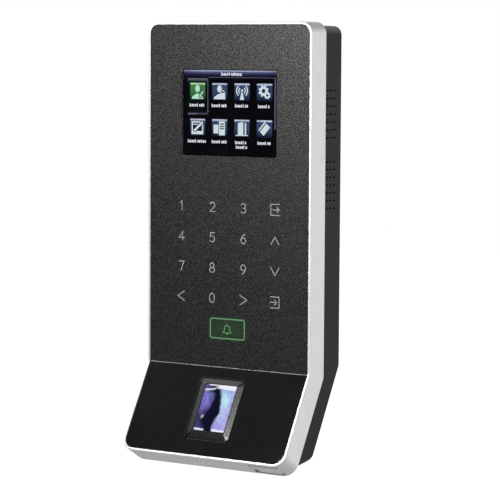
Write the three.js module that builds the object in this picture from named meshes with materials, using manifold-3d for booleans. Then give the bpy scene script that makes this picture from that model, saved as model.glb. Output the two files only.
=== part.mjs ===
// Fingerprint scanner terminal: a wall-mounted access reader with a colour display, a touch keypad, a lit bell key
// and a kicked-out finger sensor. Millimetres, +Z up, the wall is the plane Y = 0 and the front faces -Y.
// The origin is the centre of the wall plate's back face.
import * as THREE from "three";
import { mergeVertices } from "three/addons/utils/BufferGeometryUtils.js";
import Module from "manifold-3d";

const wasm = await Module();
wasm.setup();

// ---------------------------------------------------------------- driving dimensions
const WIDTH = 83.5; // across the silver frame
const UPPER_HEIGHT = 148.4; // from the fold in the front to the top of the frame
const LOWER_LENGTH = 42; // from the fold to the frame's end, down the finger section
const KICK_ANGLE = THREE.MathUtils.degToRad(30); // how far the finger section leans out of the upright
const BODY_DEPTH = 25.85; // front of the frame to the back of the case, upper section
const LOWER_BODY_DEPTH = 21.75; // the same square to the finger section
const FRAME_DEPTH = 11.6; // the silver band's depth, upper section
const LOWER_FRAME_DEPTH = 11.3;
const WALL_GAP = 0.3; // the case stands this far off the wall
const FOLD_DROP = 70; // the fold lies this far under the origin
const GAP = 0.3; // between pieces that touch on the real object
const SLIP = 0.15; // the same between flat pieces in a stack
const PAST = 1; // cutting shapes reach this far past what they cut
const ROOT = 0.5; // joined shapes reach this far into each other

const RIM = 1.12; // silver edge seen round the panels
const FRAME_WALL = 2.2;
const REBATE = 2; // the frame's step that the panels sit in
const PANEL_FRONT = 0.15; // the panels lie this far under the rim
const PANEL_BACK = 1.25;
const PANEL_SLIP = 0.1; // round each panel, inside the rim
const PANEL_INSET = RIM + PANEL_SLIP;
const GASKET = { overlap: 0.2, innerSlip: 0.1 };
const FRAME_TOP_RADIUS = 5;
const FRAME_END_RADIUS = 6;

const CASE_INSET = 1; // case inside the frame's outline, at the sides
const CASE_TOP_INSET = 1.5;
const CASE_WALL = 2.7;
const CASE_BACK_WALL = 3.2;
const CASE_THIN_WALL = 2.2; // of the finger section's back and underside
const CASE_END_RADIUS = 4;
const CASE_INNER_RADIUS = 2;
const CASE_END_FRONT = 38.9; // where the case's underside meets the frame, down the finger section
const CASE_END_BACK = 31.2; // where it meets the slanted back
const LIP_FRONT = 9.5; // the case's tongue that enters the frame
const LIP_BACK = 12.6;
const LIP_INSET = 2.5;
const LIP_END = 38;
const LIP_WALL = 1.2;
const LIP_TOP_RADIUS = 2.5;
const LIP_END_RADIUS = 3;

const WINDOW = { width: 48.6, height: 36.85, z: 109.6 }; // display opening in the touch panel
const LCD = { width: 60.3, height: 42.7, front: 3.4, back: 6.3, sheet: 0.5 };
const LCD_GLASS = { width: 57, height: 41.4, depths: [1.5, 3.2] };
const BACKLIGHT_DEPTHS = [3.5, 5.6];
const BELL = { width: 17.8, height: 9.4, z: 16.5, radius: 1.4, back: 3.5 };
const BELL_LED = { width: 3.2, height: 1.7, back: 3.6 };
const KEYPAD = { halfWidth: 33, thickness: 1, bottom: 6, top: 80 };
const TOUCH_CHIP = { width: 8, z: [46, 54], back: 3.6 };

// The finger sensor, down its face (s) and behind it (n).
const SENSOR = { width: 22.5, length: 28.4, s: 19.4, cornerRadius: 2.2 };
const GLASS = { width: 15.3, length: 21.1, s: 18.75, depths: [0.1, 3] };
const BEZEL = { slip: 0.2, edge: 0.65, crest: 0.15, back: 2.4, run: 2.4, cornerRadius: 2 };
const HOUSING = { front: 3.2, back: 13.8, width: 20, length: 26, roomWidth: 15, roomLength: 20.6, floor: 1.2 };
const LIGHT_RING = { width: 14.4, length: 20.2, band: 1.5, depths: [4, 5.2] };
const LENS = { radius: 3, front: 9.5, tipRadius: 2.2, tipFront: 8.2, hole: 3.4 };
const SENSOR_BOARD_THICKNESS = 1.2;
const MIC = { x: -1.4, s: 38.7, hole: 0.5, width: 3, above: 1.3, below: 0.9 };
const VENT = { radius: 0.6, rows: 7, rowPitch: 3.32, columns: 3, columnPitch: 3, depth: 17.6 };
const VENT_HEIGHTS = [79.2, 109.3]; // the middle of each group of vent holes

const CHASSIS_FRONT = 2.95;
const CHASSIS_BACK = 4.75;
const KEY_WINDOW = { halfWidth: 22, bottom: 28, top: 70 };
const BELL_WINDOW = { halfWidth: 12, spare: 5 };
const SENSOR_WINDOW = { halfWidth: 10.9, slip: 0.6 };
const PORT_WINDOW = { left: 21.3, right: 42, top: -21 };
const BOARD_FRONT = 12; // main board, depths behind the front face
const BOARD_BACK = 13.6;
const BOARD = { halfWidth: 31.5, bottom: 30, top: 137.5 };
const BOARD_SCREW = { x: 28.5, heights: [33.5, 134.2], boss: 2.5, bore: 1.25, hole: 1.4 };
const CASE_SCREW = { x: 34.5, heights: [8, 141], frontBoss: 3, bore: 1.45 };
const PILLAR = { radius: 3.4, hole: 1.55, well: 2.7, seat: 20 };
const BORE_FRONT = 5; // how near the front the screw bores reach
const CASE_SCREW_SIZE = { head: 2.3, height: 1.7, shank: 1.25, tip: 6 };
const BOARD_SCREW_SIZE = { head: 2.1, height: 1.4, shank: 1, tip: 6.5 };
const CROSS = { reach: 2.2, width: 0.5, depth: 0.8 }; // the recess in a screw's head
const UNDER_HEAD = 0.1; // between a screw's head and its seat

const PLATE = { halfWidth: 30, bottom: 12, top: 128, thickness: 1.2, cornerRadius: 3, slip: 0.6 };
const WALL_HOLE = { radius: 2.3, x: 14, heights: [24, 122] };
const POKE_HOLE = 2.8; // radius of the plate's holes for the reset button and tamper plunger
const LIFT = 5.5; // the terminal lifts this far to come off the hooks
const HOOK = { x: 25.5, halfWidth: 2, heights: [40, 118], reach: 21, lip: 4, thickness: 1.2, slip: 0.4 };
const TAB = { halfWidth: 6, front: 17, screwDepth: 20.5, slip: 0.5 };
const FOOT = { boss: 4.4, top: 6, hole: 1.75, well: 3.1 }; // where the retaining screw enters the case
const FOOT_SCREW = { head: 2.6, height: 1.9, shank: 1.45, tip: 16, reach: 2.6, width: 0.6, depth: 0.9 };
const CABLE_BAY = { halfWidth: 20, bottom: 32, top: 64, plateStep: 1 };

const TAMPER = { x: 12, z: 96, hole: 2.2, radius: 1.7, flange: 3, flangeThickness: 1, stem: 1, stemFront: 17 };
const TAMPER_SWITCH = { width: 6.5, height: 2.2 };
const SPRING = { radius: 2.1, wire: 0.45, turns: 4, from: 16.2, to: 19.5 };
const RESET = { x: -4, z: 96, hole: 1.6, radius: 1.2, collar: 2.3, collarDepths: [20.4, 21.4], travel: 0.5 };
const RESET_SWITCH = { width: 6, height: 2.6, button: 0.15 };
const RESET_SUNK = 0.6; // the button's end lies this far inside the case's back

const USB = { x: 30.3, n: 5.6, width: 13.1, height: 5.7, mouth: 39.4, length: 12, sheet: 0.4, floor: 2.5 };
const USB_MOUTH = { spareWidth: 0.7, spareHeight: 0.4 };
const TONGUE = { width: 10.8, thickness: 1.9, sunk: 0.8 };
const USB_BOARD = { xs: [22, 37.6], thickness: 1, down: [-35, -21] };
const COVER = { left: 23.6, front: 2.35, back: 8.9, thickness: 0.95, notch: 0.9, notchBack: 1.8 };
const HINGE = { x: 36.9, s: 41, barrel: 0.85, pin: 0.45, slip: 0.07, room: 0.35, ends: [0.65, 0.4] };
const HINGE_PIN = [2.25, 9.9];
const HINGE_HOLE = [2.1, 10.1];

const WALL_DEPTH = BODY_DEPTH + WALL_GAP; // the wall plane, as a depth behind the front face
const sinKick = Math.sin(KICK_ANGLE);
const cosKick = Math.cos(KICK_ANGLE);

// ---------------------------------------------------------------- materials
const coat = (color, roughness, metalness = 0) =>
  new THREE.MeshStandardMaterial({ color, roughness, metalness });
const MATERIAL = {
  satinSilver: () => coat(0xd2d4d5, 0.35, 0.7),
  charcoalPanel: () => coat(0x3a3b3b, 0.35, 0.1),
  glossBlack: () => coat(0x141515, 0.08),
  caseGrey: () => coat(0x35383a, 0.55),
  clear: () => coat(0x1a2028, 0.03),
  innerPlastic: () => coat(0x1c1d1e, 0.6),
  boardGreen: () => coat(0x1d5a35, 0.5),
  chipBlack: () => coat(0x161616, 0.5),
  tin: () => coat(0xb9bcbd, 0.35, 0.9),
  steel: () => coat(0xa7abae, 0.4, 0.9),
  brassContact: () => coat(0xc9a85a, 0.35, 0.9),
  nylonWhite: () => coat(0xe6e3d8, 0.55),
  relayBlue: () => coat(0x1d4f93, 0.45),
  seal: () => coat(0x101010, 0.8),
  lightGuide: () => coat(0x5fbf7c, 0.3),
  film: () => coat(0xc88a3c, 0.4),
  sensorGlass: () => coat(0x8f9cd8, 0.03),
};

// ---------------------------------------------------------------- shapes and solids
// A closed geometry as a solid that can be joined and cut.
function solid(geometry) {
  const bare = new THREE.BufferGeometry();
  const flat = geometry.index ? geometry.toNonIndexed() : geometry;
  bare.setAttribute("position", flat.getAttribute("position"));
  const merged = mergeVertices(bare, 1e-4);
  return new wasm.Manifold(
    new wasm.Mesh({
      numProp: 3,
      vertProperties: new Float32Array(merged.attributes.position.array),
      triVerts: new Uint32Array(merged.index.array),
    }),
  );
}

function geometryOf(manifold) {
  const mesh = manifold.getMesh();
  const geometry = new THREE.BufferGeometry();
  geometry.setAttribute("position", new THREE.BufferAttribute(mesh.vertProperties, mesh.numProp));
  geometry.setIndex(new THREE.BufferAttribute(mesh.triVerts, 1));
  geometry.computeVertexNormals();
  return geometry;
}

const cut = (body, ...tools) => tools.reduce((left, tool) => left.subtract(tool), body);
const join = (first, ...others) => others.reduce((whole, piece) => whole.add(piece), first);

function blockGeometry([x0, x1], [y0, y1], [z0, z1]) {
  const geometry = new THREE.BoxGeometry(x1 - x0, y1 - y0, z1 - z0);
  return geometry.translate((x0 + x1) / 2, (y0 + y1) / 2, (z0 + z1) / 2);
}
const block = (...ranges) => solid(blockGeometry(...ranges));
const centred = (middle, width) => [middle - width / 2, middle + width / 2];

// A cylinder along one axis, between two stations, its centre given by the other two coordinates in order.
function rod(axis, radius, [from, to], [a, b], sides = 12) {
  const geometry = new THREE.CylinderGeometry(radius, radius, to - from, sides);
  const middle = (from + to) / 2;
  if (axis === "x") return solid(geometry.rotateZ(Math.PI / 2).translate(middle, a, b));
  if (axis === "z") return solid(geometry.rotateX(Math.PI / 2).translate(a, b, middle));
  return solid(geometry.translate(a, middle, b));
}

// A side view, as points of depth and height, carried across the width.
function prismAcross(points, [x0, x1]) {
  const shape = new THREE.Shape(points.map(([depth, height]) => new THREE.Vector2(depth, height)));
  const geometry = new THREE.ExtrudeGeometry(shape, { depth: x1 - x0, bevelEnabled: false });
  const turn = new THREE.Matrix4().makeBasis(
    new THREE.Vector3(0, 1, 0),
    new THREE.Vector3(0, 0, 1),
    new THREE.Vector3(1, 0, 0),
  );
  return solid(geometry.applyMatrix4(turn).translate(x0, 0, 0));
}

// A front view, carried back between two depths.
function plateGeometry(shape, [front, back], segments = 4) {
  const options = { depth: back - front, bevelEnabled: false, curveSegments: segments };
  return new THREE.ExtrudeGeometry(shape, options).rotateX(Math.PI / 2).translate(0, back, 0);
}

function roundedRectangle([x0, x1], [z0, z1], radius) {
  const shape = new THREE.Shape();
  shape.moveTo(x0 + radius, z0);
  shape.lineTo(x1 - radius, z0);
  shape.absarc(x1 - radius, z0 + radius, radius, -Math.PI / 2, 0, false);
  shape.absarc(x1 - radius, z1 - radius, radius, 0, Math.PI / 2, false);
  shape.absarc(x0 + radius, z1 - radius, radius, Math.PI / 2, Math.PI, false);
  shape.absarc(x0 + radius, z0 + radius, radius, Math.PI, 1.5 * Math.PI, false);
  return shape;
}
const roundedPlate = (xs, depths, zs, radius) => solid(plateGeometry(roundedRectangle(xs, zs, radius), depths));

// Where a point of the finger section lies in the side view: s down its face, n behind its face.
const lowerPoint = (s, n) => [n * cosKick - s * sinKick, -s * cosKick - n * sinKick];
// Where a plane behind the upper face meets a plane behind the lower one.
const foldPoint = (upperDepth, lowerDepth) => [upperDepth, (upperDepth * cosKick - lowerDepth) / sinKick];
const intoLower = (geometry) => geometry.rotateX(-KICK_ANGLE);

// The waste outside one rounded corner of an outline, as a long plate.
function cornerWaste(sideX, sideZ, half, edge, radius) {
  const spare = 2;
  const centreX = sideX * (half - radius);
  const centreZ = sideZ * (edge - radius);
  const shape = new THREE.Shape();
  shape.moveTo(centreX, sideZ * (edge + spare));
  shape.lineTo(centreX, sideZ * edge);
  shape.absarc(centreX, centreZ, radius, (sideZ * Math.PI) / 2, sideX > 0 ? 0 : sideZ * Math.PI, sideX * sideZ > 0);
  shape.lineTo(sideX * (half + spare), centreZ);
  shape.lineTo(sideX * (half + spare), sideZ * (edge + spare));
  return plateGeometry(shape, [-BODY_DEPTH, 2 * BODY_DEPTH], 5);
}

// A slab that follows the bent front: it lies between two depths, inside an outline with round corners.
function bentSlab({ front, back, lowerFront = front, lowerBack = back, inset, top, end, topRadius, endRadius }) {
  const half = WIDTH / 2 - inset;
  const ends = Array.isArray(end) ? end : [end, end];
  const side = [
    [front, top],
    [back, top],
    foldPoint(back, lowerBack),
    lowerPoint(ends[1], lowerBack),
    lowerPoint(ends[0], lowerFront),
    foldPoint(front, lowerFront),
  ];
  let slab = prismAcross(side.reverse(), [-half, half]);
  for (const sideX of [-1, 1]) {
    slab = slab.subtract(solid(cornerWaste(sideX, 1, half, top, topRadius)));
    slab = slab.subtract(solid(intoLower(cornerWaste(sideX, -1, half, ends[0], endRadius))));
  }
  return slab;
}

// A slab whose edge keeps one distance from the frame's outline all round.
const insetSlab = (inset, depths) =>
  bentSlab({
    ...depths,
    inset,
    top: UPPER_HEIGHT - inset,
    end: LOWER_LENGTH - inset,
    topRadius: Math.max(FRAME_TOP_RADIUS - inset, 1),
    endRadius: Math.max(FRAME_END_RADIUS - inset, 1),
  });

// A thin strip that follows a line in the side view.
function ribbon(points, thickness, xs) {
  const path = points.map(([depth, height]) => new THREE.Vector2(depth, height));
  const sideways = path.map((_, i) => {
    const before = path[Math.max(i - 1, 0)];
    const after = path[Math.min(i + 1, path.length - 1)];
    const run = after.clone().sub(before).normalize();
    return new THREE.Vector2(-run.y, run.x).multiplyScalar(thickness / 2);
  });
  const left = path.map((p, i) => p.clone().add(sideways[i]).toArray());
  const right = path.map((p, i) => p.clone().sub(sideways[i]).toArray());
  return prismAcross([...left, ...right.reverse()], xs);
}

// ---------------------------------------------------------------- the scene graph
const root = new THREE.Group();
const terminal = new THREE.Group(); // x across, y behind the front face, z above the fold
terminal.position.set(0, -WALL_DEPTH, -FOLD_DROP);
const fingerSection = new THREE.Group(); // the same, along the kicked-out face
fingerSection.rotation.x = -KICK_ANGLE;
root.add(terminal);
terminal.add(fingerSection);

function add(group, name, material, manifold) {
  const mesh = new THREE.Mesh(geometryOf(manifold), material);
  mesh.name = name;
  group.add(mesh);
}

// ---------------------------------------------------------------- frame and panels
function usbCoverPocket() {
  const outside = -LOWER_LENGTH - PAST;
  const barrelReach = HINGE.barrel + HINGE.room;
  const wide = [COVER.left - GAP, HINGE.x + barrelReach];
  const floor = -LOWER_LENGTH + COVER.thickness + SLIP;
  const recess = blockGeometry(wide, [COVER.front - GAP, COVER.back + GAP], [outside, floor]);
  const barrelSpan = [COVER.front + HINGE.ends[0] - GAP, COVER.back - HINGE.ends[1] + GAP];
  const barrelRoom = blockGeometry([HINGE.x - barrelReach, wide[1]], barrelSpan, [-HINGE.s, -HINGE.s + barrelReach]);
  const mouth = blockGeometry(
    centred(USB.x, USB.width + USB_MOUTH.spareWidth),
    centred(USB.n, USB.height + USB_MOUTH.spareHeight),
    [outside, -LOWER_LENGTH + FRAME_WALL + PAST],
  );
  return [recess, barrelRoom, mouth].map((geometry) => solid(intoLower(geometry)));
}

function pinHole() {
  const [from, to] = HINGE_HOLE;
  const geometry = new THREE.CylinderGeometry(HINGE.pin + HINGE.slip, HINGE.pin + HINGE.slip, to - from, 12);
  return solid(intoLower(geometry.translate(HINGE.x, (from + to) / 2, -HINGE.s)));
}

const frameOutside = insetSlab(0, { front: 0, back: FRAME_DEPTH, lowerBack: LOWER_FRAME_DEPTH });
add(
  terminal,
  "trim_frame",
  MATERIAL.satinSilver(),
  cut(
    frameOutside,
    insetSlab(RIM, { front: -PAST, back: REBATE }),
    insetSlab(FRAME_WALL, { front: -PAST, back: FRAME_DEPTH + PAST }),
    ...usbCoverPocket(),
    pinHole(),
  ),
);

const panelHalf = WIDTH / 2 - PANEL_INSET;
const panelTop = UPPER_HEIGHT - PANEL_INSET;
const panelThrough = [PANEL_FRONT - PAST, PANEL_BACK + PAST];
function touchPanel() {
  const radius = FRAME_TOP_RADIUS - RIM;
  const sheet = block([-panelHalf, panelHalf], [PANEL_FRONT, PANEL_BACK], [PANEL_SLIP, panelTop]);
  const corners = [-1, 1].map((side) => solid(cornerWaste(side, 1, panelHalf, panelTop, radius)));
  const window = block(
    centred(0, WINDOW.width + 2 * SLIP),
    panelThrough,
    centred(WINDOW.z, WINDOW.height + 2 * SLIP),
  );
  return cut(sheet, ...corners, window);
}
add(terminal, "touch_panel", MATERIAL.charcoalPanel(), touchPanel());
add(
  terminal,
  "display_window",
  MATERIAL.clear(),
  block(centred(0, WINDOW.width), [PANEL_FRONT, PANEL_BACK], centred(WINDOW.z, WINDOW.height)),
);

function sensorFascia() {
  const end = LOWER_LENGTH - PANEL_INSET;
  const radius = FRAME_END_RADIUS - RIM;
  const sheet = block([-panelHalf, panelHalf], [PANEL_FRONT, PANEL_BACK], [-end, -SLIP]);
  const corners = [-1, 1].map((side) => solid(cornerWaste(side, -1, panelHalf, end, radius)));
  const opening = roundedPlate(
    centred(0, SENSOR.width),
    panelThrough,
    centred(-SENSOR.s, SENSOR.length),
    SENSOR.cornerRadius,
  );
  const micHole = rod("y", MIC.hole, panelThrough, [MIC.x, -MIC.s], 10);
  return cut(sheet, ...corners, opening, micHole);
}
add(fingerSection, "sensor_fascia", MATERIAL.glossBlack(), sensorFascia());

const gasketDepths = { front: PANEL_BACK + SLIP, back: REBATE - SLIP };
add(
  terminal,
  "panel_gasket",
  MATERIAL.seal(),
  cut(
    insetSlab(RIM + GASKET.overlap, gasketDepths),
    insetSlab(FRAME_WALL - GASKET.innerSlip, { front: 0, back: REBATE + PAST }),
  ),
);

// ---------------------------------------------------------------- chassis behind the panels
const caseScrewPlaces = CASE_SCREW.heights.flatMap((z) => [-1, 1].map((side) => [side * CASE_SCREW.x, z]));
const boardScrewPlaces = BOARD_SCREW.heights.flatMap((z) => [-1, 1].map((side) => [side * BOARD_SCREW.x, z]));

function frontChassis() {
  const sheet = insetSlab(LIP_INSET, { front: CHASSIS_FRONT, back: CHASSIS_BACK });
  const through = [CHASSIS_FRONT - 2 * PAST, CHASSIS_BACK + 2 * PAST];
  const windows = [
    block(centred(0, LCD.width + 2 * GAP), through, centred(WINDOW.z, LCD.height + 2 * GAP)),
    block([-KEY_WINDOW.halfWidth, KEY_WINDOW.halfWidth], through, [KEY_WINDOW.bottom, KEY_WINDOW.top]),
    block([-BELL_WINDOW.halfWidth, BELL_WINDOW.halfWidth], through, centred(BELL.z, BELL.height + BELL_WINDOW.spare)),
  ];
  const sensorWindow = blockGeometry(
    [-SENSOR_WINDOW.halfWidth, SENSOR_WINDOW.halfWidth],
    through,
    centred(-SENSOR.s, SENSOR.length - SENSOR_WINDOW.slip),
  );
  const usbRoom = blockGeometry([PORT_WINDOW.left, PORT_WINDOW.right], through, [-LOWER_LENGTH, PORT_WINDOW.top]);
  const depths = [CHASSIS_BACK - ROOT, BOARD_FRONT - GAP];
  const boreDepths = [BORE_FRONT, BOARD_FRONT];
  const bosses = caseScrewPlaces.map((place) => rod("y", CASE_SCREW.frontBoss, depths, place));
  const posts = boardScrewPlaces.map((place) => rod("y", BOARD_SCREW.boss, depths, place));
  const bossBores = caseScrewPlaces.map((place) => rod("y", CASE_SCREW.bore, boreDepths, place, 8));
  const postBores = boardScrewPlaces.map((place) => rod("y", BOARD_SCREW.bore, boreDepths, place, 8));
  const body = cut(sheet, ...windows, solid(intoLower(sensorWindow)), solid(intoLower(usbRoom)));
  return cut(join(body, ...bosses, ...posts), ...bossBores, ...postBores);
}
add(terminal, "front_chassis", MATERIAL.innerPlastic(), frontChassis());

// ---------------------------------------------------------------- rear case
function ventHoles() {
  const holes = [];
  for (const height of VENT_HEIGHTS) {
    for (let row = 0; row < VENT.rows; row++) {
      for (let column = 0; column < VENT.columns; column++) {
        const z = height + (row - (VENT.rows - 1) / 2) * VENT.rowPitch;
        const depth = VENT.depth + (column - (VENT.columns - 1) / 2) * VENT.columnPitch;
        holes.push([depth, z]);
      }
    }
  }
  const through = [WIDTH / 2 - CASE_INSET - CASE_WALL - 1, WIDTH / 2];
  return holes.flatMap(([depth, z]) => [
    rod("x", VENT.radius, through, [depth, z], 6),
    rod("x", VENT.radius, through.map((x) => -x).reverse(), [depth, z], 6),
  ]);
}

function rearCase() {
  const outside = bentSlab({
    front: FRAME_DEPTH + GAP,
    lowerFront: LOWER_FRAME_DEPTH + GAP,
    back: BODY_DEPTH,
    lowerBack: LOWER_BODY_DEPTH,
    inset: CASE_INSET,
    top: UPPER_HEIGHT - CASE_TOP_INSET,
    end: [CASE_END_FRONT, CASE_END_BACK],
    topRadius: FRAME_TOP_RADIUS - CASE_INSET,
    endRadius: CASE_END_RADIUS,
  });
  const lip = bentSlab({
    front: LIP_FRONT,
    back: LIP_BACK,
    inset: LIP_INSET,
    top: UPPER_HEIGHT - LIP_INSET,
    end: LIP_END,
    topRadius: LIP_TOP_RADIUS,
    endRadius: LIP_END_RADIUS,
  });
  const endSlope = (CASE_END_FRONT - CASE_END_BACK) / (LOWER_BODY_DEPTH - LOWER_FRAME_DEPTH - GAP);
  const innerEnd = CASE_END_FRONT - CASE_THIN_WALL * Math.hypot(1, endSlope);
  const hollowFront = LIP_FRONT - PAST;
  const hollowLowerBack = LOWER_BODY_DEPTH - CASE_THIN_WALL;
  const endAt = (n) => innerEnd - endSlope * (n - LOWER_FRAME_DEPTH - GAP);
  const hollow = bentSlab({
    front: hollowFront,
    back: BODY_DEPTH - CASE_BACK_WALL,
    lowerBack: hollowLowerBack,
    inset: CASE_INSET + CASE_WALL,
    top: UPPER_HEIGHT - CASE_TOP_INSET - CASE_WALL,
    end: [Math.min(endAt(hollowFront), LIP_END - LIP_WALL), endAt(hollowLowerBack)],
    topRadius: CASE_INNER_RADIUS,
    endRadius: CASE_INNER_RADIUS,
  });

  const floor = BODY_DEPTH - PLATE.thickness;
  const behind = BODY_DEPTH + PAST;
  const through = [BODY_DEPTH - CASE_BACK_WALL - PAST, behind];
  const plateRecess = block(
    centred(0, 2 * (PLATE.halfWidth + PLATE.slip)),
    [floor, behind],
    [PLATE.bottom - LIFT - PLATE.slip, PLATE.top + PLATE.slip],
  );
  const bay = block([-CABLE_BAY.halfWidth, CABLE_BAY.halfWidth], through, [CABLE_BAY.bottom, CABLE_BAY.top]);
  const slotWidth = 2 * (HOOK.halfWidth + HOOK.slip);
  const hookSlots = HOOK.heights.flatMap((z) =>
    [-1, 1].map((side) =>
      block(centred(side * HOOK.x, slotWidth), through, [z - LIFT, z + HOOK.thickness + HOOK.slip]),
    ),
  );
  const tabTop = PLATE.bottom + PLATE.thickness + TAB.slip;
  const tabSlot = block(centred(0, 2 * (TAB.halfWidth + TAB.slip)), through, [PLATE.bottom - LIFT, tabTop]);
  const switchHoles = [TAMPER, RESET].map(({ x, z, hole }) => rod("y", hole, through, [x, z]));

  const bosses = caseScrewPlaces.map((place) => rod("y", PILLAR.radius, [BOARD_FRONT, BODY_DEPTH - PAST], place));
  const bores = caseScrewPlaces.map((place) => rod("y", PILLAR.hole, [BOARD_FRONT - PAST, behind], place));
  const wells = caseScrewPlaces.map((place) => rod("y", PILLAR.well, [PILLAR.seat, behind], place));

  const below = -LOWER_LENGTH / 2; // lower than the case's back reaches on the screw's line
  const footPlace = [0, TAB.screwDepth];
  const footBoss = rod("z", FOOT.boss, [below, FOOT.top], footPlace).intersect(outside);
  const footBore = rod("z", FOOT.hole, [below, FOOT.top + PAST], footPlace);
  const footWell = rod("z", FOOT.well, [below, 0], footPlace);

  const shell = cut(join(outside, lip), hollow);
  return cut(
    join(shell, ...bosses, footBoss),
    plateRecess,
    bay,
    ...hookSlots,
    tabSlot,
    ...switchHoles,
    ...bores,
    ...wells,
    footBore,
    footWell,
    ...ventHoles(),
  );
}
add(terminal, "rear_case", MATERIAL.caseGrey(), rearCase());

// ---------------------------------------------------------------- wall plate
function wallPlate() {
  const front = WALL_DEPTH - PLATE.thickness;
  const depths = [front, WALL_DEPTH];
  const xs = [-PLATE.halfWidth, PLATE.halfWidth];
  const sheet = roundedPlate(xs, depths, [PLATE.bottom, PLATE.top], PLATE.cornerRadius);
  const through = [front - PAST, WALL_DEPTH + PAST];
  const bayHalf = CABLE_BAY.halfWidth - CABLE_BAY.plateStep;
  const bay = block([-bayHalf, bayHalf], through, [CABLE_BAY.bottom, CABLE_BAY.top]);
  const wallHoles = WALL_HOLE.heights.flatMap((z) =>
    [-1, 1].map((side) => rod("y", WALL_HOLE.radius, through, [side * WALL_HOLE.x, z])),
  );
  const pokeHoles = [TAMPER, RESET].map(({ x, z }) => rod("y", POKE_HOLE, through, [x, z]));
  const hooks = HOOK.heights.flatMap((z) =>
    [-1, 1].map((side) => {
      const hookXs = centred(side * HOOK.x, 2 * HOOK.halfWidth);
      const stem = block(hookXs, [HOOK.reach, front + ROOT], [z, z + HOOK.thickness]);
      const lip = block(hookXs, [HOOK.reach, HOOK.reach + HOOK.thickness], [z, z + HOOK.thickness + HOOK.lip]);
      return stem.add(lip);
    }),
  );
  const tabHeights = [PLATE.bottom, PLATE.bottom + PLATE.thickness];
  const tab = block([-TAB.halfWidth, TAB.halfWidth], [TAB.front, front + ROOT], tabHeights);
  const tabHole = rod("z", FOOT.hole, [tabHeights[0] - PAST, tabHeights[1] + PAST], [0, TAB.screwDepth]);
  return cut(join(sheet, ...hooks, tab), bay, ...wallHoles, ...pokeHoles, tabHole);
}
add(terminal, "wall_plate", MATERIAL.steel(), wallPlate());

// ---------------------------------------------------------------- keypad and bell light
const keypadDepths = [PANEL_BACK + SLIP, PANEL_BACK + SLIP + KEYPAD.thickness];
const keypadPartFront = keypadDepths[1] + SLIP; // parts soldered to the keypad board's back
add(
  terminal,
  "keypad_board",
  MATERIAL.boardGreen(),
  cut(
    block([-KEYPAD.halfWidth, KEYPAD.halfWidth], keypadDepths, [KEYPAD.bottom, KEYPAD.top]),
    block(
      centred(0, BELL.width + 2 * GAP),
      [keypadDepths[0] - PAST, keypadDepths[1] + PAST],
      centred(BELL.z, BELL.height + 2 * GAP),
    ),
  ),
);
add(
  terminal,
  "touch_controller",
  MATERIAL.chipBlack(),
  block(centred(0, TOUCH_CHIP.width), [keypadPartFront, TOUCH_CHIP.back], TOUCH_CHIP.z),
);
add(
  terminal,
  "bell_light_guide",
  MATERIAL.lightGuide(),
  roundedPlate(centred(0, BELL.width), [keypadDepths[0], BELL.back], centred(BELL.z, BELL.height), BELL.radius),
);
const bellLedTop = BELL.z - BELL.height / 2 - GAP;
add(
  terminal,
  "bell_led",
  MATERIAL.nylonWhite(),
  block(centred(0, BELL_LED.width), [keypadPartFront, BELL_LED.back], [bellLedTop - BELL_LED.height, bellLedTop]),
);

// ---------------------------------------------------------------- display
function lcdBlock(inset, depths) {
  return block(centred(0, LCD.width - 2 * inset), depths, centred(WINDOW.z, LCD.height - 2 * inset));
}
add(
  terminal,
  "lcd_glass",
  MATERIAL.clear(),
  block(centred(0, LCD_GLASS.width), LCD_GLASS.depths, centred(WINDOW.z, LCD_GLASS.height)),
);
add(terminal, "lcd_backlight", MATERIAL.nylonWhite(), lcdBlock(2 * LCD.sheet, BACKLIGHT_DEPTHS));
add(
  terminal,
  "lcd_frame",
  MATERIAL.tin(),
  cut(lcdBlock(0, [LCD.front, LCD.back]), lcdBlock(LCD.sheet, [LCD.front - PAST, LCD.back - LCD.sheet])),
);
const FLEX_THICKNESS = 0.25;
// The display's ribbon runs down behind its frame and turns in to the main board.
const LCD_FLEX_LINE = [[LCD.back + 0.4, 98], [LCD.back + 0.6, 86], [9, 81.5], [BOARD_FRONT - 0.4, 80]];
add(terminal, "lcd_flex", MATERIAL.film(), ribbon(LCD_FLEX_LINE, FLEX_THICKNESS, [-10, 10]));

// ---------------------------------------------------------------- main board
const boardThrough = [BOARD_FRONT - PAST, BOARD_BACK + PAST];
add(
  terminal,
  "main_board",
  MATERIAL.boardGreen(),
  cut(
    block([-BOARD.halfWidth, BOARD.halfWidth], [BOARD_FRONT, BOARD_BACK], [BOARD.bottom, BOARD.top]),
    ...boardScrewPlaces.map((place) => rod("y", BOARD_SCREW.hole, boardThrough, place, 8)),
  ),
);
const onBoardFront = (height) => [BOARD_FRONT - SLIP - height, BOARD_FRONT - SLIP];
const onBoardBack = (height) => [BOARD_BACK + SLIP, BOARD_BACK + SLIP + height];

// A part soldered to the board: its middle across and up, its size, and how far it stands off the board.
const PROCESSOR = { x: 4, z: 66, width: 17, height: 17, rise: 1.6 };
const MEMORY = { x: 20, z: 66, width: 9, height: 13, rise: 1.1 };
const SHIELD = { x: 14, z: 44, width: 20, height: 18, rise: 3, sheet: 0.4 };
const COIN = { x: -20, z: 62, radius: 6.25, thickness: 2, holderRise: 3.2, holderWall: 1.4, floor: 0.75 };
const RELAY = { x: -23, z: 92, width: 10, height: 15, rise: 8.2 };
const CAPACITOR = { x: 24, z: 106, radius: 4, rise: 6.8 };

const soldered = (part, depths) => block(centred(part.x, part.width), depths, centred(part.z, part.height));
add(terminal, "processor", MATERIAL.chipBlack(), soldered(PROCESSOR, onBoardFront(PROCESSOR.rise)));
add(terminal, "memory_chip", MATERIAL.chipBlack(), soldered(MEMORY, onBoardFront(MEMORY.rise)));

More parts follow.
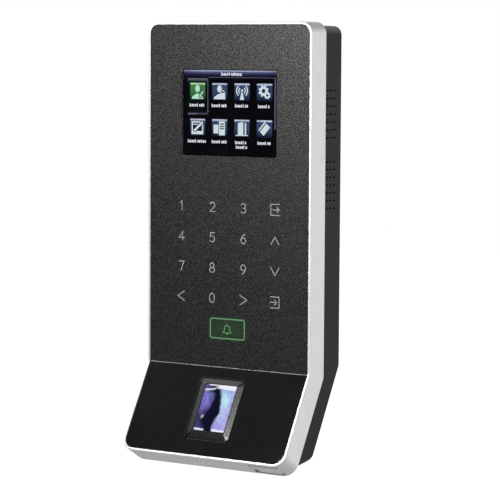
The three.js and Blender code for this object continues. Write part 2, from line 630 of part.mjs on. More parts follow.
function shieldCan() {
  const depths = onBoardFront(SHIELD.rise);
  const inner = { ...SHIELD, width: SHIELD.width - 2 * SHIELD.sheet, height: SHIELD.height - 2 * SHIELD.sheet };
  return cut(soldered(SHIELD, depths), soldered(inner, [depths[0] + SHIELD.sheet, depths[1] + PAST]));
}
add(terminal, "shield_can", MATERIAL.tin(), shieldCan());

const holderDepths = onBoardFront(COIN.holderRise);
const coinBack = BOARD_FRONT - SLIP - COIN.floor - GAP;
add(
  terminal,
  "battery_holder",
  MATERIAL.innerPlastic(),
  cut(
    rod("y", COIN.radius + COIN.holderWall, holderDepths, [COIN.x, COIN.z], 16),
    rod("y", COIN.radius + GAP, [holderDepths[0] - PAST, holderDepths[1] - COIN.floor], [COIN.x, COIN.z], 16),
  ),
);
add(
  terminal,
  "clock_battery",
  MATERIAL.tin(),
  rod("y", COIN.radius, [coinBack - COIN.thickness, coinBack], [COIN.x, COIN.z], 16),
);
add(terminal, "lock_relay", MATERIAL.relayBlue(), soldered(RELAY, onBoardBack(RELAY.rise)));
add(
  terminal,
  "supply_capacitor",
  MATERIAL.chipBlack(),
  rod("y", CAPACITOR.radius, onBoardBack(CAPACITOR.rise), [CAPACITOR.x, CAPACITOR.z], 16),
);

// A shrouded connector header with its contact pins, open towards the wall.
const HEADER = { pitch: 2.5, ends: 4.9, height: 5.8, depth: 6.4, wall: 0.8, floor: 1.45, pin: 0.64, pinRise: 5.4 };
function header(pins, x, z) {
  const width = HEADER.pitch * (pins - 1) + HEADER.ends;
  const floor = BOARD_BACK + SLIP + HEADER.floor;
  const body = cut(
    block(centred(x, width), onBoardBack(HEADER.depth), centred(z, HEADER.height)),
    block(
      centred(x, width - 2 * HEADER.wall),
      [floor, floor + HEADER.depth],
      centred(z, HEADER.height - 2 * HEADER.wall),
    ),
  );
  const pinDepths = [floor - ROOT, BOARD_BACK + HEADER.pinRise];
  const contacts = Array.from({ length: pins }, (_, i) => {
    const pinX = x + HEADER.pitch * (i - (pins - 1) / 2);
    return block(centred(pinX, HEADER.pin), pinDepths, centred(z, HEADER.pin));
  });
  return join(body, ...contacts);
}
// Each header's pin count, middle across and middle height.
const HEADERS = [
  ["power_header", 2, -14, 41],
  ["lock_header", 4, -2.5, 41],
  ["rs485_header", 3, 11.5, 41],
  ["ethernet_header", 4, -11, 55],
  ["wiegand_header", 6, 7.5, 55],
];
for (const [name, pins, x, z] of HEADERS) add(terminal, name, MATERIAL.nylonWhite(), header(pins, x, z));

// ---------------------------------------------------------------- reset button and tamper switch
function switchBody(key, size) {
  return block(centred(key.x, size.width), onBoardBack(size.height), centred(key.z, size.width));
}
add(terminal, "reset_switch", MATERIAL.chipBlack(), switchBody(RESET, RESET_SWITCH));

function resetButton() {
  const place = [RESET.x, RESET.z];
  const front = onBoardBack(RESET_SWITCH.height)[1] + RESET_SWITCH.button + RESET.travel;
  const back = BODY_DEPTH - PLATE.thickness - RESET_SUNK;
  return join(rod("y", RESET.radius, [front, back], place), rod("y", RESET.collar, RESET.collarDepths, place));
}
add(terminal, "reset_button", MATERIAL.innerPlastic(), resetButton());
add(terminal, "tamper_switch", MATERIAL.chipBlack(), switchBody(TAMPER, TAMPER_SWITCH));

function tamperPlunger() {
  const place = [TAMPER.x, TAMPER.z];
  const flangeFront = SPRING.to + SLIP;
  return join(
    rod("y", TAMPER.radius, [flangeFront, WALL_DEPTH], place),
    rod("y", TAMPER.flange, [flangeFront, flangeFront + TAMPER.flangeThickness], place),
    rod("y", TAMPER.stem, [TAMPER.stemFront, flangeFront + ROOT], place),
  );
}
add(terminal, "tamper_plunger", MATERIAL.nylonWhite(), tamperPlunger());

function coilSpring({ radius, wire, turns, from, to }, { x, z }) {
  const stepsPerTurn = 10;
  const steps = turns * stepsPerTurn;
  const climb = to - from - wire;
  const points = [];
  for (let i = 0; i <= steps; i++) {
    const angle = (i / stepsPerTurn) * 2 * Math.PI;
    const depth = from + wire / 2 + (climb * i) / steps;
    points.push(new THREE.Vector3(x + radius * Math.cos(angle), depth, z + radius * Math.sin(angle)));
  }
  const section = new THREE.Shape();
  section.absarc(0, 0, wire / 2, 0, 2 * Math.PI, false);
  const path = new THREE.CatmullRomCurve3(points);
  const options = { steps, curveSegments: 5, extrudePath: path, bevelEnabled: false };
  return solid(new THREE.ExtrudeGeometry(section, options));
}
add(terminal, "tamper_spring", MATERIAL.steel(), coilSpring(SPRING, TAMPER));

// ---------------------------------------------------------------- card antenna and speaker
// The card reader's antenna: a board with a large opening that its copper loop runs round.
const ANTENNA = { size: 50, z: 51, thickness: 1, openingWidth: 24, openingHeight: 26 };
function antennaBoard() {
  const front = CHASSIS_BACK + GAP;
  const back = front + ANTENNA.thickness;
  return cut(
    block(centred(0, ANTENNA.size), [front, back], centred(ANTENNA.z, ANTENNA.size)),
    block(centred(0, ANTENNA.openingWidth), [front - PAST, back + PAST], centred(ANTENNA.z, ANTENNA.openingHeight)),
  );
}
add(terminal, "antenna_board", MATERIAL.boardGreen(), antennaBoard());

// The speaker faces the case's side wall, behind the lower vent holes.
const SPEAKER = { xs: [33, 37.6], depth: 17.9, width: 8.6, z: 80, height: 28, wall: 0.8 };
const MAGNET = { xs: [34.1, 35.6], width: 5.8, height: 14 };
const CONE = { back: 36.1, thickness: 0.7, width: 6.4, height: 25.8, radius: 2 };
function speakerBlock(xs, width, height) {
  return block(xs, centred(SPEAKER.depth, width), centred(SPEAKER.z, height));
}
add(
  terminal,
  "speaker_frame",
  MATERIAL.innerPlastic(),
  cut(
    speakerBlock(SPEAKER.xs, SPEAKER.width, SPEAKER.height),
    speakerBlock(
      [SPEAKER.xs[0] + SPEAKER.wall, SPEAKER.xs[1] + PAST],
      SPEAKER.width - 2 * SPEAKER.wall,
      SPEAKER.height - 2 * SPEAKER.wall,
    ),
  ),
);
add(terminal, "speaker_magnet", MATERIAL.steel(), speakerBlock(MAGNET.xs, MAGNET.width, MAGNET.height));
const coneShape = roundedRectangle(centred(SPEAKER.depth, CONE.width), centred(SPEAKER.z, CONE.height), CONE.radius);
const coneGeometry = plateGeometry(coneShape, [0, CONE.thickness]).rotateZ(Math.PI / 2);
add(terminal, "speaker_cone", MATERIAL.seal(), solid(coneGeometry.translate(CONE.back + CONE.thickness, 0, 0)));

// ---------------------------------------------------------------- finger sensor
// The bezel's section across one of its spans: level at the back, with a slope up from each edge to the glass.
const bezelSection = ([low, high]) => [
  [BEZEL.edge, low],
  [BEZEL.crest, low + BEZEL.run],
  [BEZEL.crest, high - BEZEL.run],
  [BEZEL.edge, high],
  [BEZEL.back, high],
  [BEZEL.back, low],
];

// A frame whose four sides slope up from its edge to the glass.
function sensorBezel() {
  const xs = centred(0, SENSOR.width - 2 * BEZEL.slip);
  const zs = centred(-SENSOR.s, SENSOR.length - 2 * BEZEL.slip);
  const across = new THREE.Shape(bezelSection(xs).map(([n, x]) => new THREE.Vector2(x, n)));
  const acrossGeometry = new THREE.ExtrudeGeometry(across, { depth: LOWER_LENGTH, bevelEnabled: false });
  const acrossSolid = solid(acrossGeometry.translate(0, 0, -LOWER_LENGTH));
  const along = prismAcross(bezelSection(zs), xs);
  const rounded = roundedPlate(xs, [-PAST, BEZEL.back], zs, BEZEL.cornerRadius);
  const opening = block(
    centred(0, GLASS.width + 2 * SLIP),
    [-PAST, BEZEL.back + PAST],
    centred(-GLASS.s, GLASS.length + 2 * SLIP),
  );
  return cut(acrossSolid.intersect(along).intersect(rounded), opening);
}
add(fingerSection, "sensor_bezel", MATERIAL.innerPlastic(), sensorBezel());

// A block centred under the glass.
function underGlass(width, depths, length) {
  return block(centred(0, width), depths, centred(-GLASS.s, length));
}
add(fingerSection, "sensor_prism", MATERIAL.sensorGlass(), underGlass(GLASS.width, GLASS.depths, GLASS.length));
add(
  fingerSection,
  "sensor_housing",
  MATERIAL.innerPlastic(),
  cut(
    underGlass(HOUSING.width, [HOUSING.front, HOUSING.back], HOUSING.length),
    underGlass(HOUSING.roomWidth, [HOUSING.front - PAST, HOUSING.back - HOUSING.floor], HOUSING.roomLength),
    rod("y", LENS.hole, [HOUSING.back - HOUSING.floor - PAST, HOUSING.back + PAST], [0, -GLASS.s]),
  ),
);
const ringThrough = [LIGHT_RING.depths[0] - PAST, LIGHT_RING.depths[1] + PAST];
add(
  fingerSection,
  "sensor_light",
  MATERIAL.nylonWhite(),
  cut(
    underGlass(LIGHT_RING.width, LIGHT_RING.depths, LIGHT_RING.length),
    underGlass(LIGHT_RING.width - 2 * LIGHT_RING.band, ringThrough, LIGHT_RING.length - 2 * LIGHT_RING.band),
  ),
);
const sensorBoardFront = HOUSING.back + GAP;
const sensorBoardBack = sensorBoardFront + SENSOR_BOARD_THICKNESS;
add(
  fingerSection,
  "sensor_board",
  MATERIAL.boardGreen(),
  underGlass(HOUSING.width, [sensorBoardFront, sensorBoardBack], HOUSING.length),
);
add(
  fingerSection,
  "sensor_camera",
  MATERIAL.chipBlack(),
  join(
    rod("y", LENS.radius, [LENS.front, sensorBoardFront - SLIP], [0, -GLASS.s]),
    rod("y", LENS.tipRadius, [LENS.tipFront, LENS.front + ROOT], [0, -GLASS.s]),
  ),
);
// The sensor's ribbon runs up behind its board, round the fold and to the foot of the main board.
const flexDepth = sensorBoardBack + 2 * GAP;
const sensorFlexStart = [lowerPoint(20, flexDepth), lowerPoint(8, flexDepth)];
const SENSOR_FLEX_LINE = [...sensorFlexStart, [14, -2], [16, 12], [15, 28], [14.1, 33]];
add(terminal, "sensor_flex", MATERIAL.film(), ribbon(SENSOR_FLEX_LINE, FLEX_THICKNESS, [-17, -7]));
add(
  fingerSection,
  "microphone",
  MATERIAL.brassContact(),
  block(
    centred(MIC.x, MIC.width),
    [PANEL_BACK + SLIP, CHASSIS_FRONT - SLIP - GAP],
    [-MIC.s - MIC.below, -MIC.s + MIC.above],
  ),
);

// ---------------------------------------------------------------- service port and its cover
function usbPort() {
  const xs = centred(USB.x, USB.width);
  const ns = centred(USB.n, USB.height);
  const floor = -USB.mouth + USB.length - USB.floor;
  const shell = cut(
    block(xs, ns, [-USB.mouth, -USB.mouth + USB.length]),
    block(
      [xs[0] + USB.sheet, xs[1] - USB.sheet],
      [ns[0] + USB.sheet, ns[1] - USB.sheet],
      [-USB.mouth - PAST, floor],
    ),
  );
  const tongueDown = [-USB.mouth + TONGUE.sunk, floor + ROOT];
  return join(shell, block(centred(USB.x, TONGUE.width), [USB.n - TONGUE.thickness, USB.n], tongueDown));
}
add(fingerSection, "usb_port", MATERIAL.tin(), usbPort());
const usbBoardFront = USB.n + USB.height / 2 + GAP;
add(
  fingerSection,
  "usb_board",
  MATERIAL.boardGreen(),
  block(USB_BOARD.xs, [usbBoardFront, usbBoardFront + USB_BOARD.thickness], USB_BOARD.down),
);

// A plate flush with the frame's end, shaped by the frame's round corner, with a hinge barrel at its right edge.
function usbCover() {
  const outer = -LOWER_LENGTH;
  const plate = block([COVER.left, HINGE.x], [COVER.front, COVER.back], [outer, outer + COVER.thickness]);
  const roundEnd = roundedRectangle([-WIDTH / 2, WIDTH / 2], [outer, 0], FRAME_END_RADIUS);
  const round = solid(plateGeometry(roundEnd, [0, LOWER_FRAME_DEPTH], 5));
  const barrelDepths = [COVER.front + HINGE.ends[0], COVER.back - HINGE.ends[1]];
  const barrel = rod("y", HINGE.barrel, barrelDepths, [HINGE.x, -HINGE.s]);
  const bore = rod("y", HINGE.pin + HINGE.slip, [0, LOWER_FRAME_DEPTH], [HINGE.x, -HINGE.s]);
  const notchPlace = [COVER.left, COVER.back - COVER.notchBack];
  const notch = rod("z", COVER.notch, [outer - PAST, outer + COVER.thickness + PAST], notchPlace);
  return cut(join(plate.intersect(round), barrel), bore, notch);
}
add(fingerSection, "usb_cover", MATERIAL.satinSilver(), usbCover());
add(fingerSection, "usb_cover_pin", MATERIAL.steel(), rod("y", HINGE.pin, HINGE_PIN, [HINGE.x, -HINGE.s]));

// ---------------------------------------------------------------- screws
// A screw driven from the wall side, with a cross in its head.
function screw({ head, height, shank, tip }, seat, [x, z]) {
  const top = seat + height;
  const crossDepths = [top - CROSS.depth, top + PAST];
  return cut(
    join(rod("y", head, [seat, top], [x, z]), rod("y", shank, [tip, seat + ROOT], [x, z], 8)),
    block(centred(x, CROSS.reach), crossDepths, centred(z, CROSS.width)),
    block(centred(x, CROSS.width), crossDepths, centred(z, CROSS.reach)),
  );
}
caseScrewPlaces.forEach((place, i) => {
  const made = screw(CASE_SCREW_SIZE, PILLAR.seat + UNDER_HEAD, place);
  add(terminal, `case_screw_${i + 1}`, MATERIAL.steel(), made);
});
boardScrewPlaces.forEach((place, i) => {
  const made = screw(BOARD_SCREW_SIZE, BOARD_BACK + UNDER_HEAD, place);
  add(terminal, `board_screw_${i + 1}`, MATERIAL.steel(), made);
});

// The screw that locks the terminal to the wall plate's tab, driven up from below.
function retainingScrew() {
  const place = [0, TAB.screwDepth];
  const seat = -UNDER_HEAD;
  const bottom = seat - FOOT_SCREW.height;
  const crossHeights = [bottom - PAST, bottom + FOOT_SCREW.depth];
  return cut(
    join(
      rod("z", FOOT_SCREW.head, [bottom, seat], place),
      rod("z", FOOT_SCREW.shank, [seat - ROOT, FOOT_SCREW.tip], place, 8),
    ),
    block(centred(0, FOOT_SCREW.reach), centred(TAB.screwDepth, FOOT_SCREW.width), crossHeights),
    block(centred(0, FOOT_SCREW.width), centred(TAB.screwDepth, FOOT_SCREW.reach), crossHeights),
  );
}
add(terminal, "retaining_screw", MATERIAL.steel(), retainingScrew());

export default root;
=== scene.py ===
"""The looks of the fingerprint scanner terminal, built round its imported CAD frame.

Shapes are written in the terminal's own millimetres: x across, depth behind the front face, height above
the fold where the finger section kicks out. They become metres in the row frame when a mesh is made. Shapes
of the kicked-out section are written the same way along its own face, and kicked() turns them into place.
"""

import math

import bmesh
import bpy
from mathutils import Matrix, Vector


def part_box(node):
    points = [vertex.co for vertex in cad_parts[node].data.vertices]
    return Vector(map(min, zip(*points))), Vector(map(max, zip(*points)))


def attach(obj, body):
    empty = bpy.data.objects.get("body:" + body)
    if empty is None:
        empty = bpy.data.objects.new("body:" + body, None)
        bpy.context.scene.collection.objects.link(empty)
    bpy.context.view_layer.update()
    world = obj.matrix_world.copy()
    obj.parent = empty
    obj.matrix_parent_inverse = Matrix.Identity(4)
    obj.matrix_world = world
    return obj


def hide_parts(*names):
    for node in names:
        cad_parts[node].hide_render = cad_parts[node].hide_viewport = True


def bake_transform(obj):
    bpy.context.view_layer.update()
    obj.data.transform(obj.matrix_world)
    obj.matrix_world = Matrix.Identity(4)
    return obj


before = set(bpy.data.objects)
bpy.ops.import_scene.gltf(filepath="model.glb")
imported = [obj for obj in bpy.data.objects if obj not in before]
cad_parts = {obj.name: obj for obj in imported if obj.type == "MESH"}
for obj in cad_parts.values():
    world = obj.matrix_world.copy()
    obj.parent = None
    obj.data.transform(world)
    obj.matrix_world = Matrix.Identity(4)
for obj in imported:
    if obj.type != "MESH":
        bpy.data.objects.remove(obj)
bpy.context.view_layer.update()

# ---------------- driving dimensions, millimetres
MM = 0.001
WIDTH = 83.5
UPPER_HEIGHT = 148.4
LOWER_LENGTH = 42
KICK = math.radians(30)
SIN, COS = math.sin(KICK), math.cos(KICK)
FRAME_DEPTH = 11.6
LOWER_FRAME_DEPTH = 11.3
BODY_DEPTH = 25.85
LOWER_BODY_DEPTH = 21.75
WALL_DEPTH = 26.15
RIM = 1.12
REBATE = 2
FRAME_WALL = 2.2
TOP_RADIUS = 5
END_RADIUS = 6
PANEL_FRONT = 0.15
PANEL_BACK = 1.25
FOLD_EASE = 0.9  # how far from the fold its bend starts

PANEL_GAP = 0.18
PANEL_HALF = WIDTH / 2 - RIM - PANEL_GAP
PANEL_TOP = UPPER_HEIGHT - RIM - PANEL_GAP
FASCIA_END = LOWER_LENGTH - RIM - PANEL_GAP
FOLD_GAP = 0.1

WINDOW_WIDTH, WINDOW_HEIGHT, WINDOW_MIDDLE = 48.6, 36.85, 109.6
BELL_WIDTH, BELL_HEIGHT, BELL_MIDDLE = 17.5, 8.5, 16.7
SENSOR_WIDTH, SENSOR_LENGTH, SENSOR_MIDDLE = 22.5, 28.4, -19.4
GLASS_WIDTH, GLASS_LENGTH, GLASS_MIDDLE = 15.3, 21.1, -18.75
MIC_X, MIC_HEIGHT = -1.4, -38.7

KEY_COLUMNS = (-24, -8, 8, 24)
KEY_TOP_ROW = 69.1
KEY_PITCH = 13.13

# The terminal's zero point in the row frame: the middle of the fold, on the front face.
panel_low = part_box("touch_panel")[0]
ORIGIN = Vector((0, panel_low.y - PANEL_FRONT * MM, panel_low.z - FOLD_GAP * MM))


def kicked(point):
    """A point written along the kicked-out face, as a point of the terminal."""
    x, depth, height = point
    return (x, depth * COS + height * SIN, height * COS - depth * SIN)


# ---------------- shapes
class Part:
    """Closed surfaces in millimetres. Each face carries the number of the material that it wears."""

    def __init__(self, points=(), faces=(), mark=0):
        self.points = list(points)
        self.faces = list(faces)
        self.marks = [mark] * len(self.faces)

    def __add__(self, other):
        shift = len(self.points)
        whole = Part(self.points + other.points, self.faces)
        whole.faces += [tuple(i + shift for i in face) for face in other.faces]
        whole.marks = self.marks + other.marks
        return whole

    def moved(self, change):
        whole = Part(map(change, self.points), self.faces)
        whole.marks = list(self.marks)
        return whole

    def shifted(self, x=0, depth=0, height=0):
        return self.moved(lambda p: (p[0] + x, p[1] + depth, p[2] + height))

    def marked(self, mark):
        return Part(self.points, self.faces, mark)

    def kicked(self):
        return self.moved(kicked)


def together(parts):
    return sum(parts, Part())


def whole_cap(count):
    return [tuple(range(count))]


def skin(rings, loop=False, cap=whole_cap):
    """Joins equal rings of points into a surface: a loop of rings, or a row with a cap at each end."""
    count = len(rings[0])
    faces = []
    for r in range(len(rings) if loop else len(rings) - 1):
        near, far = r * count, (r + 1) % len(rings) * count
        for i in range(count):
            j = (i + 1) % count
            faces.append((near + i, far + i, far + j, near + j))
    if not loop:
        last = (len(rings) - 1) * count
        for face in cap(count):
            faces.append(face)
            faces.append(tuple(i + last for i in reversed(face)))
    return Part([point for ring in rings for point in ring], faces)


def at_depth(outline, depth):
    """An outline of (x, height) points, as a ring at one depth."""
    return [(x, depth, z) for x, z in outline]


def flat_shape(outline, depths):
    """A filled outline of (x, height) points, carried between two depths."""
    return skin([at_depth(outline, depth) for depth in depths])


def arc(centre, radius, start, stop, steps):
    """Points on an arc or ellipse, with angles in degrees from +x towards +height."""
    wide, tall = radius if isinstance(radius, tuple) else (radius, radius)
    angles = [math.radians(start + (stop - start) * i / steps) for i in range(steps + 1)]
    return [(centre[0] + wide * math.cos(a), centre[1] + tall * math.sin(a)) for a in angles]


def ellipse(centre, radius, steps):
    """A closed ellipse or circle."""
    return arc(centre, radius, 0, 360, steps)[:-1]


def box_outline(xs, heights):
    return [(xs[0], heights[0]), (xs[1], heights[0]), (xs[1], heights[1]), (xs[0], heights[1])]


def rounded(xs, heights, radius, inset=0, low_radius=None, steps=6):
    """A rectangle with round corners, counter-clockwise as seen from the front."""
    left, right = xs[0] + inset, xs[1] - inset
    bottom, top = heights[0] + inset, heights[1] - inset
    low = radius if low_radius is None else low_radius
    corners = ((right, bottom, 1, -1, low), (right, top, 1, 1, radius), (left, top, -1, 1, radius))
    points = []
    for turn, (x, z, side_x, side_z, r) in enumerate(corners + ((left, bottom, -1, -1, low),)):
        r = max(r - inset, 0.02)
        points += arc((x - side_x * r, z - side_z * r), r, 90 * turn - 90, 90 * turn, steps)
    return points


def loft(outline, profile):
    """outline(inset) at each (inset, depth) of the profile, joined into one surface."""
    return skin([at_depth(outline(inset), depth) for inset, depth in profile])


def eased(front, back, edge, steps=2):
    """A profile from front to back whose two edges are rounded off."""
    turns = [math.pi / 2 * i / steps for i in range(steps + 1)]
    near = [(edge * (1 - math.sin(t)), front + edge * (1 - math.cos(t))) for t in turns]
    far = [(edge * (1 - math.cos(t)), back - edge * (1 - math.sin(t))) for t in turns]
    return near + far


def slab(xs, depths, heights, radius=0.3, edge=0.15, steps=6):
    """A plate with round corners and eased edges."""
    return loft(lambda inset: rounded(xs, heights, radius, inset, steps=steps), eased(*depths, edge))


def brick(xs, depths, heights, edge=0.1):
    return slab(xs, depths, heights, edge * 1.5, edge, steps=2)


CUT_EDGE = 0.02  # shapes that cut are all but sharp


def plain(xs, depths, heights):
    """A sharp box, for cutting."""
    return flat_shape(box_outline(xs, heights), depths)


def centred(middle, size):
    return (middle - size / 2, middle + size / 2)


def turned(profile, x=0, height=0, steps=32):
    """A lathe shape about a line in depth: (radius, depth) points."""
    return skin([at_depth(ellipse((x, height), radius, steps), depth) for radius, depth in profile])


def rod(radius, depths, x=0, height=0, steps=32):
    """A plain cylinder, for boring holes and for pillars."""
    return turned([(radius, depth) for depth in depths], x, height, steps)


def on_end(part):
    """Swaps depth and height, for shapes that run along the height."""
    return part.moved(lambda p: (p[0], p[2], p[1]))


def sideways(part):
    """Turns a shape that runs in depth so that it runs across: (a, station, b) goes to (station, a, b)."""
    return part.moved(lambda p: (p[1], p[0], p[2]))


def strip(path, thickness, xs):
    """A bent strip of sheet: a line of (depth, height) points, thickened and carried across."""
    points = [Vector(p) for p in path]
    left, right = [], []
    for i, point in enumerate(points):
        run = (points[min(i + 1, len(points) - 1)] - points[max(i - 1, 0)]).normalized()
        aside = Vector((-run.y, run.x)) * thickness / 2
        left.append(point + aside)
        right.append(point - aside)
    outline = left + right[::-1]
    return skin([[(x, p.x, p.y) for p in outline] for x in xs])


PRINT_THICK = 0.05
PRINT_SIDES = 8
ROUND_END = (80, 45)  # where a printed line's round end has its rings, in degrees


def stroke(path, width, closed=False):
    """A printed line through (x, height) points, with an elliptic section and round ends."""
    points = [Vector(p) for p in path]
    count = len(points)
    rings = []

    def section(centre, along, wide, high):
        aside = Vector((-along.y, along.x))
        ring = []
        for k in range(PRINT_SIDES):
            turn = 2 * math.pi * k / PRINT_SIDES
            flat = centre + aside * wide * math.cos(turn)
            ring.append((flat.x, PANEL_FRONT + high * math.sin(turn), flat.y))
        return ring

    for i, point in enumerate(points):
        before = points[i - 1] if closed or i else None
        after = points[(i + 1) % count] if closed or i < count - 1 else None
        arrive = (point - before).normalized() if before is not None else None
        leave = (after - point).normalized() if after is not None else arrive
        arrive = arrive if arrive is not None else leave
        along = (arrive + leave).normalized()
        mitre = 1 / max(0.5, along.dot(leave))
        if before is None or after is None:
            out = along * (-1 if before is None else 1) * width / 2
            ends = []
            for turn in map(math.radians, ROUND_END):
                share = math.cos(turn)
                middle = point + out * math.sin(turn)
                ends.append(section(middle, along, width / 2 * share, PRINT_THICK / 2 * share))
            here = section(point, along, width / 2, PRINT_THICK / 2)
            rings += ends + [here] if before is None else [here] + ends[::-1]
        else:
            rings.append(section(point, along, width / 2 * mitre, PRINT_THICK / 2))
    return skin(rings, loop=closed)


BEND_POINTS = 5
BENT_STEPS = 8


def bent_ring(side, depth, lower_depth, top, end, top_radius, end_radius):
    """A closed line round the terminal at one depth behind each face, from the right end of the fold."""
    mitre = Vector((depth, (depth * COS - lower_depth) / SIN))
    above = mitre + Vector((0, FOLD_EASE))
    below = mitre - Vector((SIN, COS)) * FOLD_EASE
    bend = []
    for i in range(BEND_POINTS):
        t = i / (BEND_POINTS - 1)
        bend.append(below * (1 - t) ** 2 + mitre * 2 * t * (1 - t) + above * t * t)
    crown = arc((side - top_radius, top - top_radius), top_radius, 0, 90, BENT_STEPS)
    crown += arc((top_radius - side, top - top_radius), top_radius, 90, 180, BENT_STEPS)
    foot = arc((end_radius - side, end_radius - end), end_radius, 180, 270, BENT_STEPS)
    foot += arc((side - end_radius, end_radius - end), end_radius, 270, 360, BENT_STEPS)
    ring = [(side, p.x, p.y) for p in bend]
    ring += [(x, depth, z) for x, z in crown]
    ring += [(-side, p.x, p.y) for p in reversed(bend)]
    ring += [kicked((x, lower_depth, z)) for x, z in foot]
    return ring


def bent_cap(count):
    """The faces that close a bent ring: a flat one on each side of the fold, and strips across the bend."""
    left = BEND_POINTS + 2 * (BENT_STEPS + 1)
    last = left + BEND_POINTS - 1
    upper_face = tuple(range(BEND_POINTS - 1, left + 1))
    lower_face = tuple(range(last, count)) + (0,)
    return [upper_face, lower_face] + [(k, k + 1, last - 1 - k, last - k) for k in range(BEND_POINTS - 1)]


def bent_slab(rings):
    return skin([bent_ring(*ring) for ring in rings], cap=bent_cap)


# ---------------- objects
def mesh_of(name, part):
    """The part as a mesh in metres, in the row frame, with its faces turned outwards."""
    mesh = bpy.data.meshes.new(name)
    mesh.from_pydata([ORIGIN + Vector(p) * MM for p in part.points], [], part.faces)
    mesh.polygons.foreach_set("material_index", part.marks)
    work = bmesh.new()
    work.from_mesh(mesh)
    bmesh.ops.remove_doubles(work, verts=work.verts, dist=1e-7)
    bmesh.ops.recalc_face_normals(work, faces=work.faces)
    work.to_mesh(mesh)
    work.free()
    return mesh


def add_object(name, data):
    thing = bpy.data.objects.new(name, data)
    bpy.context.scene.collection.objects.link(thing)
    return thing


def combine(target, operation, part):
    """Joins a part to an object's mesh, or cuts it out."""
    tool = add_object("tool", mesh_of("tool", part))
    change = target.modifiers.new("combine", "BOOLEAN")
    change.operation = operation
    change.solver = "MANIFOLD"
    change.object = tool
    graph = bpy.context.evaluated_depsgraph_get()
    result = bpy.data.meshes.new_from_object(target.evaluated_get(graph))
    target.modifiers.clear()
    old, target.data = target.data, result
    bpy.data.meshes.remove(old)
    bpy.data.objects.remove(tool)


def piece(
    name, part, *materials, body="terminal", stands_for=None, slot=None, joins=(), cuts=(), crease=32
):
    """A visible piece of the terminal. It rides on its body and stands for a CAD node, if one is given."""
    thing = add_object(name, mesh_of(name, part))
    for other in joins:
        combine(thing, "UNION", other)
    for other in cuts:
        combine(thing, "DIFFERENCE", other)
    thing.data.name = name
    thing.data.materials.clear()
    for material in materials:
        thing.data.materials.append(material)
    thing.data.shade_smooth()
    thing.data.set_sharp_from_angle(angle=math.radians(crease))
    normals = thing.modifiers.new("normals", "WEIGHTED_NORMAL")
    normals.keep_sharp = True
    if body:
        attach(thing, body)
    if stands_for:
        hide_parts(stands_for)
    return thing


def dress(material, *nodes):
    """Gives CAD nodes that keep their shape their finish."""
    for node in nodes:
        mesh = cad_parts[node].data
        mesh.materials.clear()
        mesh.materials.append(material)


# ---------------- materials
def grey(level):
    return (level, level, level, 1)


def srgb(*levels):
    """A colour from 0 to 255 display levels."""
    linear = []
    for level in levels:
        share = level / 255
        linear.append(share / 12.92 if share <= 0.04045 else ((share + 0.055) / 1.055) ** 2.4)
    if len(linear) == 1:
        linear *= 3
    return (*linear, 1)


def add_node(tree, kind, inputs, **settings):
    """A shader node. Each input is linked if it is given another node's output, and otherwise set."""
    made = tree.nodes.new("ShaderNode" + kind)
    for key, value in settings.items():
        setattr(made, key, value)
    for key, value in inputs.items():
        if isinstance(value, bpy.types.NodeSocket):
            tree.links.new(value, made.inputs[key])
        else:
            made.inputs[key].default_value = value
    return made


class Finish:
    """A node material while it is made. Values that are the same all over go straight to the shader."""

    def __init__(self, name, **values):
        self.material = bpy.data.materials.new(name)
        self.material.use_nodes = True
        self.tree = self.material.node_tree
        self.shader = self.tree.nodes["Principled BSDF"]
        self.place = self.node("TexCoord").outputs["Object"]
        for key, value in values.items():
            self.shader.inputs[key.replace("_", " ").title().replace("Ior", "IOR")].default_value = value

    def node(self, kind, inputs=(), **settings):
        return add_node(self.tree, kind, dict(inputs), **settings)

    def use(self, socket, value):
        self.tree.links.new(value, self.shader.inputs[socket])

    def stretched(self, x=1, y=1, z=1):
        """Coordinates scaled along the axes, so that a pattern runs long where the number is small."""
        return self.node("Mapping", {"Vector": self.place, "Scale": (x, y, z)}).outputs[0]

    def noise(self, size, detail=2, roughness=0.5, place=None, distortion=0):
        """Soft random patches of about the given size in millimetres."""
        inputs = {"Vector": place or self.place, "Scale": 1 / (size * MM), "Detail": detail}
        inputs.update({"Roughness": roughness, "Distortion": distortion})
        return self.node("TexNoise", inputs).outputs[0]

    def cells(self, size):
        """The distance to the middle of the nearest random cell."""
        inputs = {"Vector": self.place, "Scale": 1 / (size * MM)}
        return self.node("TexVoronoi", inputs).outputs["Distance"]

    def calc(self, operation, a, b=0.0, c=0.0):
        return self.node("Math", {0: a, 1: b, 2: c}, operation=operation).outputs[0]

    def axes(self):
        """The point's place in millimetres, as three numbers in the row frame."""
        split = self.node("SeparateXYZ", {0: self.place})
        return [self.calc("DIVIDE", socket, MM) for socket in split.outputs]

    def spread(self, value, low, high, to_low=0.0, to_high=1.0):
        inputs = {"Value": value, "From Min": low, "From Max": high, "To Min": to_low, "To Max": to_high}
        return self.node("MapRange", inputs, clamp=True).outputs[0]

    def ramp(self, value, *stops):
        made = self.node("ValToRGB", {"Fac": value})
        band = made.color_ramp
        while len(band.elements) < len(stops):
            band.elements.new(0.5)
        for element, (position, colour) in zip(band.elements, stops):
            element.position = position
            element.color = colour
        return made.outputs[0]

    def mix(self, share, a, b):
        return self.node("Mix", {0: share, 6: a, 7: b}, data_type="RGBA").outputs[2]

    def faced(self, colour, rough, relief, rise):
        """Sets the colour, the roughness and a relief, and gives the finished material."""
        self.use("Base Color", colour)
        self.use("Roughness", rough)
        self.use("Normal", self.bump(relief, rise))
        return self.material

    def bump(self, height, rise, under=None):
        """Relief of the given rise in millimetres."""
        inputs = {"Height": height, "Distance": rise * MM, "Strength": 1.0}
        if under is not None:
            inputs["Normal"] = under
        return self.node("Bump", inputs).outputs[0]


